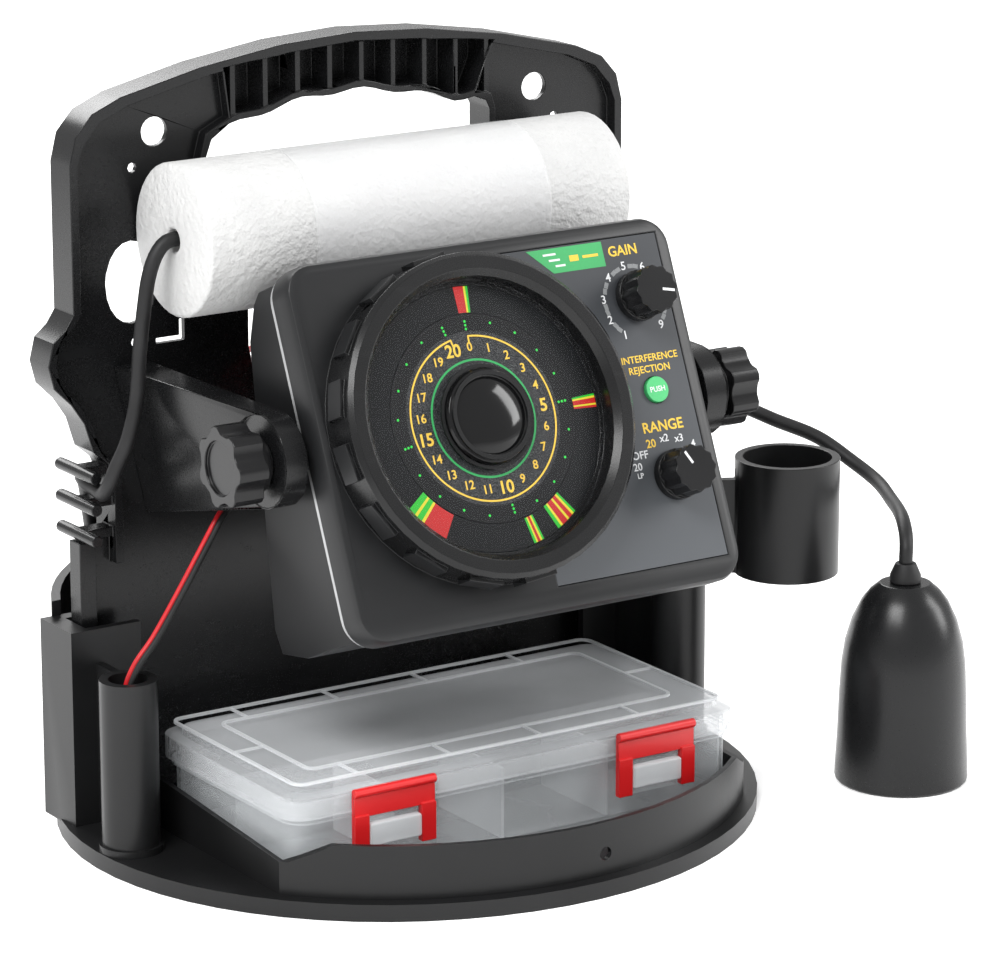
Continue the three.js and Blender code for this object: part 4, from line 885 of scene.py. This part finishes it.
nodeFinishes = {
    # node: finish, width of its eased edges in mm
    "carrier_base": ("casePlastic", 0.0),
    "carrier_panel": ("panelPlastic", 0.45),
    "transducer_cup": ("casePlastic", 0.4),
    "gimbal_arm_left": ("panelPlastic", 0.4),
    "gimbal_arm_right": ("panelPlastic", 0.4),
    "gimbal_knob_left": ("knobPlastic", 0.5),
    "gimbal_knob_right": ("knobPlastic", 0.5),
    "gimbal_washer_left": ("softRubber", 0.2),
    "gimbal_washer_right": ("softRubber", 0.2),
    "gimbal_stud_left": ("steel", 0.15),
    "gimbal_stud_right": ("steel", 0.15),
    "friction_pad_left": ("softRubber", 0.2),
    "friction_pad_right": ("softRubber", 0.2),
    "head_bezel": ("headPlastic", 0.3),
    "head_gasket": ("gasketSilver", 0.15),
    "head_shell": ("headPlastic", 0.5),
    "control_plate": ("labelGrey", 0.12),
    "display_window": ("clearWindow", 0.0),
    "dial_plate": ("dialGrey", 0.0),
    "centre_cap": ("glossPlastic", 0.2),
    "led_rotor": ("smokedRing", 0.1),
    "rotor_shaft": ("steel", 0.1),
    "rotor_motor": ("steel", 0.2),
    "main_board": ("circuitBoard", 0.1),
    "gain_knob": ("knobPlastic", 0.35),
    "gain_shaft": ("steel", 0.1),
    "gain_potentiometer": ("steel", 0.15),
    "range_knob": ("knobPlastic", 0.35),
    "range_shaft": ("steel", 0.1),
    "range_switch": ("steel", 0.15),
    "push_button": ("buttonGreen", 0.3),
    "button_switch": ("casePlastic", 0.15),
    "transducer_socket": ("casePlastic", 0.2),
    "transducer_plug": ("softRubber", 0.3),
    "power_socket": ("casePlastic", 0.2),
    "power_plug": ("softRubber", 0.3),
    "transducer_body": ("panelPlastic", 0.5),
    "transducer_boot": ("softRubber", 0.3),
    "battery_case": ("batteryCase", 0.6),
    "battery_cap": ("batteryCase", 0.3),
    "battery_terminal_positive": ("steel", 0.15),
    "battery_terminal_negative": ("steel", 0.15),
    "tackle_box_base": ("boxFrost", 0.0),
    "tackle_box_lid": ("boxClear", 0.0),
    "tackle_box_latch_left": ("latchRed", 0.3),
    "tackle_box_latch_right": ("latchRed", 0.3),
    "tackle_box_pin_left": ("steel", 0.1),
    "tackle_box_pin_right": ("steel", 0.1),
    "divider_1": ("boxRim", 0.15),
    "divider_2": ("boxRim", 0.15),
    "divider_3": ("boxRim", 0.15),
}


hood = {
    "innerReach": 59.6,  # everything this near the dial's middle, in mm
    "outerReach": 70.0,
    "faceDepth": -24.8,
}


def paintHood(piece, finish):
    # the round hood stands proud of the head's face, and is glossier than it
    piece.data.materials.append(finish)
    back = headPlace.inverted()
    for face in piece.data.polygons:
        spot = back @ face.center * 1000
        reach = math.hypot(spot.x - dialPlace["u"], spot.z - dialPlace["v"])
        if reach < hood["innerReach"] or (reach < hood["outerReach"] and spot.y < hood["faceDepth"]):
            face.material_index = 1


def buildMouldings(finishes):
    for name, (finish, width) in nodeFinishes.items():
        piece = roundedNode(name, width, finishes[finish])
        if name == "head_bezel":
            paintHood(piece, finishes["hoodPlastic"])
    print("moulded parts:", len(nodeFinishes))


boxDetails = {
    "frames": [(6.6, 1.5, 6.0), (22.0, 1.5, 5.0)],  # inset from the lid's edge, strip width, corner radius
    "frameRise": 0.9,
    "longRibs": [0.16, 0.36, 0.56, 0.78],  # shares of the lid's length
    "ribHalf": 0.7,
    "sunk": 0.2,  # how far the raised strips reach into the lid
    "tabInset": 7.4,
    "tabLow": 3.0,
    "tabHigh": 13.0,
    "tabEase": 1.0,
}


def roundedLoop(left, right, low, high, radius, steps=6):
    loop = []
    for cx, cy, first in [(right - radius, high - radius, 0), (left + radius, high - radius, 90),
                          (left + radius, low + radius, 180), (right - radius, low + radius, 270)]:
        for i in range(steps + 1):
            angle = math.radians(first + 90 * i / steps)
            loop.append((cx + radius * math.cos(angle), cy + radius * math.sin(angle)))
    return loop


def frameStrip(box, width, radius, floor, rise):
    # a raised rounded frame, its outer edge on the box given in mm
    left, right, low, high = box
    outer = roundedLoop(left, right, low, high, radius)
    inner = roundedLoop(left + width, right - width, low + width, high - width, max(0.5, radius - width))
    count = len(outer)
    points = [(x * mm, y * mm, z * mm)
              for z in (floor, floor + rise) for loop in (outer, inner) for x, y in loop]
    faces = []
    for i in range(count):
        k = (i + 1) % count
        faces += [(i, k, count + k, count + i), (2 * count + i, 3 * count + i, 3 * count + k, 2 * count + k),
                  (i, 2 * count + i, 2 * count + k, k), (count + i, count + k, 3 * count + k, 3 * count + i)]
    mesh = bpy.data.meshes.new("frameStrip")
    mesh.from_pydata(points, [], faces)
    return outwards(mesh)


def block(left, right, low, high, floor, top):
    mesh = plate([(left, low), (right, low), (right, high), (left, high)], top - floor)
    mesh.transform(Matrix.Translation((0, 0, floor * mm)))
    return mesh


def buildBoxDetails(finishes):
    sizes = boxDetails
    still = Matrix.Identity(4)
    low, high = (corner * 1000 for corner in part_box("tackle_box_lid"))
    rib, floor, rise = sizes["ribHalf"], high.z - sizes["sunk"], sizes["frameRise"]
    parts = []
    for inset, width, radius in sizes["frames"]:
        frameBox = (low.x + inset, high.x - inset, low.y + inset, high.y - inset)
        parts.append((frameStrip(frameBox, width, radius, floor, rise + sizes["sunk"]), still))
    near, far = sizes["frames"][0][0] + 1.2, sizes["frames"][1][0] + 0.3
    top = high.z + rise - sizes["sunk"]
    for share in sizes["longRibs"]:
        x = low.x + (high.x - low.x) * share
        for start, end in ((low.y + near, low.y + far), (high.y - far, high.y - near)):
            parts.append((block(x - rib, x + rib, start, end, floor, top), still))
    middle = (low.y + high.y) / 2
    for left, right in ((low.x + near, low.x + far), (high.x - far, high.x - near)):
        parts.append((block(left, right, middle - rib, middle + rib, floor, top), still))
    addPiece("lid_frames", joined("lid_frames", parts), finishes["boxRim"], "tackle_box_lid")

    for side in ("left", "right"):
        low, high = (corner * 1000 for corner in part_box("tackle_box_latch_" + side))
        inset = sizes["tabInset"]
        tab = block(low.x + inset, high.x - inset, low.y + 0.1, high.y + 0.4, low.z + sizes["tabLow"],
                    low.z + sizes["tabHigh"])
        eased = smoothed(easedCopy(tab, sizes["tabEase"], 3), 40)
        addPiece("latch_tab_" + side, eased, finishes["boxRim"], "tackle_box")
    print("tackle box details done")


floatSizes = {
    "wrapGap": 0.15,
    "wrapThick": 0.12,
    "wrapFrom": 0.24,    # share of the length, from the left
    "wrapTo": 0.80,
    "ease": 1.6,
}


def buildFloat(finishes):
    sizes = floatSizes
    shaped = smoothed(easedCopy(weldedCopy(nodes["foam_float"]), sizes["ease"], 3, limit=40), 45)
    piece = addPiece("foam_float_shaped", shaped, finishes["foamWhite"], "carrier",
                     ["foam_float"])

    # a clear sleeve shrunk round the middle of the float
    low, high = (corner * 1000 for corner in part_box("foam_float"))
    axisY, axisZ = (low.y + high.y) / 2, (low.z + high.z) / 2
    radius = (high.z - low.z) / 2 + sizes["wrapGap"]
    start = low.x + (high.x - low.x) * sizes["wrapFrom"]
    long = (high.x - low.x) * (sizes["wrapTo"] - sizes["wrapFrom"])
    sleeve = sector(radius, radius + sizes["wrapThick"], long, step=4)
    lying = Matrix.Rotation(math.radians(90), 4, "Y")
    stand = Matrix.Translation((start * mm, axisY * mm, axisZ * mm)) @ lying
    mesh = smoothed(joined("float_sleeve", [(sleeve, stand)]), 40)
    addPiece("float_sleeve", mesh, finishes["clearWrap"], "carrier")
    print("float done")


dialMarks = {
    "faceDepth": -34.87,
    "firstAngle": 1.5,
    "stepAngle": 17.2,
    "numeralRadius": 30.2,
    "numeralSize": 5.3,
    "bigNumeralSize": 7.6,
    "ringRadius": 34.9,
    "ringWidth": 0.75,
    "greenRadius": 24.8,
    "bandFrom": 36.9,
    "bandTo": 44.2,
    "dotRadius": 0.55,
    "innerDots": (37.9, 39.5),
    "outerDots": 41.1,
    "print": 0.08,  # thickness of the print, mm
    "echoFrom": 44.8,
    "echoTo": 56.0,
    "echoDepth": -34.72,
    "screen": (44.5, 56.3, 0.9, -33.8),  # inner and outer radius, thickness, depth
    "collar": [(17.0, 18.8, 4.0, -38.2), (20.8, 22.2, 1.1, -37.4)],
    "echoes": [
        # from, to (degrees clockwise from straight up), colour
        (-0.8, 4.2, "glowRed"), (4.2, 5.2, "glowYellow"), (5.2, 6.4, "glowGreen"),
        (87.0, 87.9, "glowGreen"), (87.9, 88.8, "glowYellow"), (88.8, 91.2, "glowRed"),
        (91.2, 92.0, "glowYellow"), (92.0, 93.0, "glowRed"),
        (142.6, 143.8, "glowGreen"), (143.8, 145.0, "glowYellow"), (145.0, 147.2, "glowRed"),
        (147.2, 148.4, "glowYellow"), (148.4, 151.6, "glowRed"), (151.6, 152.8, "glowYellow"),
        (152.8, 154.6, "glowGreen"),
        (163.4, 164.4, "glowGreen"), (164.4, 165.4, "glowYellow"), (165.4, 166.8, "glowRed"),
        (166.8, 167.6, "glowYellow"), (167.6, 168.8, "glowGreen"),
        (213.2, 225.4, "glowRed"), (225.4, 226.8, "glowYellow"), (226.8, 229.6, "glowGreen"),
        (229.6, 231.0, "glowYellow"), (231.0, 234.4, "glowGreen"),
    ],
}


def buildDial(finishes):
    marks = dialMarks
    depth = marks["faceDepth"]
    numerals = []
    for value in range(21):
        big = value % 5 == 0 and value > 0
        size = marks["bigNumeralSize"] if big else marks["numeralSize"]
        angle = marks["firstAngle"] + marks["stepAngle"] * value
        numerals.append((lettering(str(value), size, weight=0.16 if big else 0.07),
                         onDial(depth, angle, marks["numeralRadius"])))
    r, w = marks["ringRadius"], marks["ringWidth"] / 2
    first, last = marks["firstAngle"], marks["firstAngle"] + marks["stepAngle"] * 20
    numerals.append((sector(r - w, r + w, marks["print"], first, last + 2.4), onDial(depth)))
    for angle in (first + 0.4, last + 2.0):
        stop = bar(marks["ringWidth"], 2.8, marks["print"])
        numerals.append((stop, onDial(depth, angle, r - 1.4, -angle)))
    addPiece("dial_numerals", joined("dial_numerals", numerals), finishes["printYellow"], "head")

    g = marks["greenRadius"]
    green = joined("dial_inner_ring", [(sector(g - 0.45, g + 0.45, marks["print"]), onDial(depth))])
    addPiece("dial_inner_ring", green, finishes["printGreen"], "head")

    band = joined("dial_band", [(sector(marks["bandFrom"], marks["bandTo"], 0.04), onDial(depth))])
    addPiece("dial_band", band, finishes["bandBlack"], "head")

    tree = arcTree()
    first, step = math.radians(marks["firstAngle"]), math.radians(marks["stepAngle"])
    stud = {"Stud Radius": marks["dotRadius"] * mm, "Stud Height": 0.1 * mm, "First Angle": first}
    many = {**stud, "Radius": marks["outerDots"] * mm, "Step Angle": step}
    dots = [studsOn(tree, finishes["dotGreen"], **many)]
    for radius in marks["innerDots"]:
        few = {**stud, "Count": 5, "Radius": radius * mm, "Step Angle": step * 5}
        dots.append(studsOn(tree, finishes["dotGreen"], **few))
    addPiece("dial_dots", joined("dial_dots", [(dot, onDial(depth - 0.05)) for dot in dots]),
             finishes["dotGreen"], "head")

    inner, outer, thick, back = marks["screen"]
    ring = joined("echo_screen", [(sector(inner, outer, thick, step=3), onDial(back))])
    addPiece("echo_screen", ring, finishes["smokedRing"], "head")
    for colour in ("glowRed", "glowYellow", "glowGreen"):
        bars = [(sector(marks["echoFrom"], marks["echoTo"], marks["print"], a, b, 1.0),
                 onDial(marks["echoDepth"])) for a, b, tone in marks["echoes"] if tone == colour]
        name = "echo_bars_" + colour[4:].lower()
        addPiece(name, joined(name, bars), finishes[colour], "head")

    # a stepped collar round the cap, with a groove between its two ridges
    collar = [(sector(inner, outer, thick, step=4), onDial(back))
              for inner, outer, thick, back in marks["collar"]]
    addPiece("cap_collar", joined("cap_collar", collar), finishes["hoodPlastic"], "head")
    print("display done")


labelMarks = {
    "faceDepth": -24.68,
    "gain": (71, 40.8),
    "range": (71, -37.2),
    "gainNumbers": [
        # number, angle from straight across, distance from the knob's middle
        (1, 240, 17.9), (2, 209, 16.9), (3, 177, 15.9), (4, 138, 14.9), (5, 99, 14.2), (6, 60, 14.6),
        (7, 22, 15.2), (8, -15, 15.8), (9, -52, 16.8),
    ],
    "yellowWords": [
        # words, place across and up, size, weight
        ("GAIN", 70.2, 61.6, 6.2, 0.12), ("RANGE", 70.3, -15.6, 6.4, 0.13), ("20", 62.4, -22.4, 5.0, 0.09),
        ("INTERFERENCE", 71.4, 14.2, 4.3, 0.06), ("REJECTION", 70.2, 9.4, 4.3, 0.06),
    ],
    "whiteWords": [
        ("x2", 69.6, -20.9, 4.0), ("x3", 77.1, -21.9, 4.0), ("4", 83.7, -25.2, 4.0),
        ("OFF", 55.6, -26.6, 4.2), ("20", 53.2, -31.4, 4.0), ("LP", 53.6, -35.2, 2.8),
    ],
    "whiteScale": 1.14,
    "banner": [(60.2, 56.0), (60.2, 66.8), (21.8, 66.8), (27.4, 61.6), (33.4, 56.0)],
    "bannerWhite": [(6.5, 0.9, 33.0, 64.2), (5.6, 0.9, 35.0, 61.6), (5.0, 0.9, 37.5, 59.0)],
    "bannerYellow": [(4.6, 2.6, 45.0, 61.4), (8.0, 1.2, 53.4, 61.4)],
    "buttonDepth": -26.27,
    "pointers": [
        # piece, body, knob, depth, turn
        ("gain_pointer", "gain_knob", "gain", -42.98, -12),
        ("range_pointer", "range_knob", "range", -41.48, 118),
    ],
    "pointerReach": 5.6,
}


def roundKnob(centre, angle, away):
    way = math.radians(angle)
    return centre[0] + away * math.cos(way), centre[1] + away * math.sin(way)


def buildLabel(finishes):
    marks = labelMarks
    depth = marks["faceDepth"]
    white, yellow, grey = [], [], []
    for value, angle, away in marks["gainNumbers"]:
        place = onFace(*roundKnob(marks["gain"], angle, away), depth)
        white.append((lettering(str(value), 5.2, weight=0.06), place))
    for (_, first, near), (_, second, far) in zip(marks["gainNumbers"], marks["gainNumbers"][1:]):
        # the angles fall all the way round, so each step is a plain difference
        for share in (0.36, 0.64):
            angle = first + (second - first) * share
            away = near + (far - near) * share - 0.6
            grey.append((bar(1.9, 2.6, 0.08), onFace(*roundKnob(marks["gain"], angle, away), depth, angle)))
    for words, u, v, size, weight in marks["yellowWords"]:
        yellow.append((lettering(words, size, weight=weight), onFace(u, v, depth)))
    for words, u, v, size in marks["whiteWords"]:
        white.append((lettering(words, size * marks["whiteScale"], weight=0.06), onFace(u, v, depth)))
    banner = [(plate(marks["banner"], 0.06), onFace(0, 0, depth))]
    lines = [[(bar(w, h, 0.06), onFace(u, v, depth - 0.07)) for w, h, u, v in marks[key]]
             for key in ("bannerWhite", "bannerYellow")]
    word = [(lettering("PUSH", 3.3, weight=0.05), onFace(71, 0.2, marks["buttonDepth"]))]
    for name, parts, finish, body, slot in [
        ("label_white", white, "printWhite", "head", "label_grey"),
        ("label_yellow", yellow, "printYellow", "head", "label_grey"),
        ("label_blocks", grey, "printGrey", "head", "label_grey"),
        ("label_banner", banner, "bannerGreen", "head", "button_green"),
        ("banner_lines_white", lines[0], "printWhite", "head", "label_grey"),
        ("banner_lines_yellow", lines[1], "printYellow", "head", "label_grey"),
        ("button_word", word, "printWhite", "push_button", "label_grey"),
    ]:
        addPiece(name, joined(name, parts), finishes[finish], body)
    for name, body, knob, front, turn in marks["pointers"]:
        place = onFace(*roundKnob(marks[knob], turn, marks["pointerReach"]), front, turn)
        stripe = joined(name, [(bar(6.0, 1.1, 0.12), place)])
        addPiece(name, stripe, finishes["printWhite"], body)
    print("label done")


finishes = makeFinishes()
print("finishes:", len(finishes))
buildStudio()
buildCords(finishes)
buildMouldings(finishes)
buildBoxDetails(finishes)
buildFloat(finishes)
buildDial(finishes)
buildLabel(finishes)
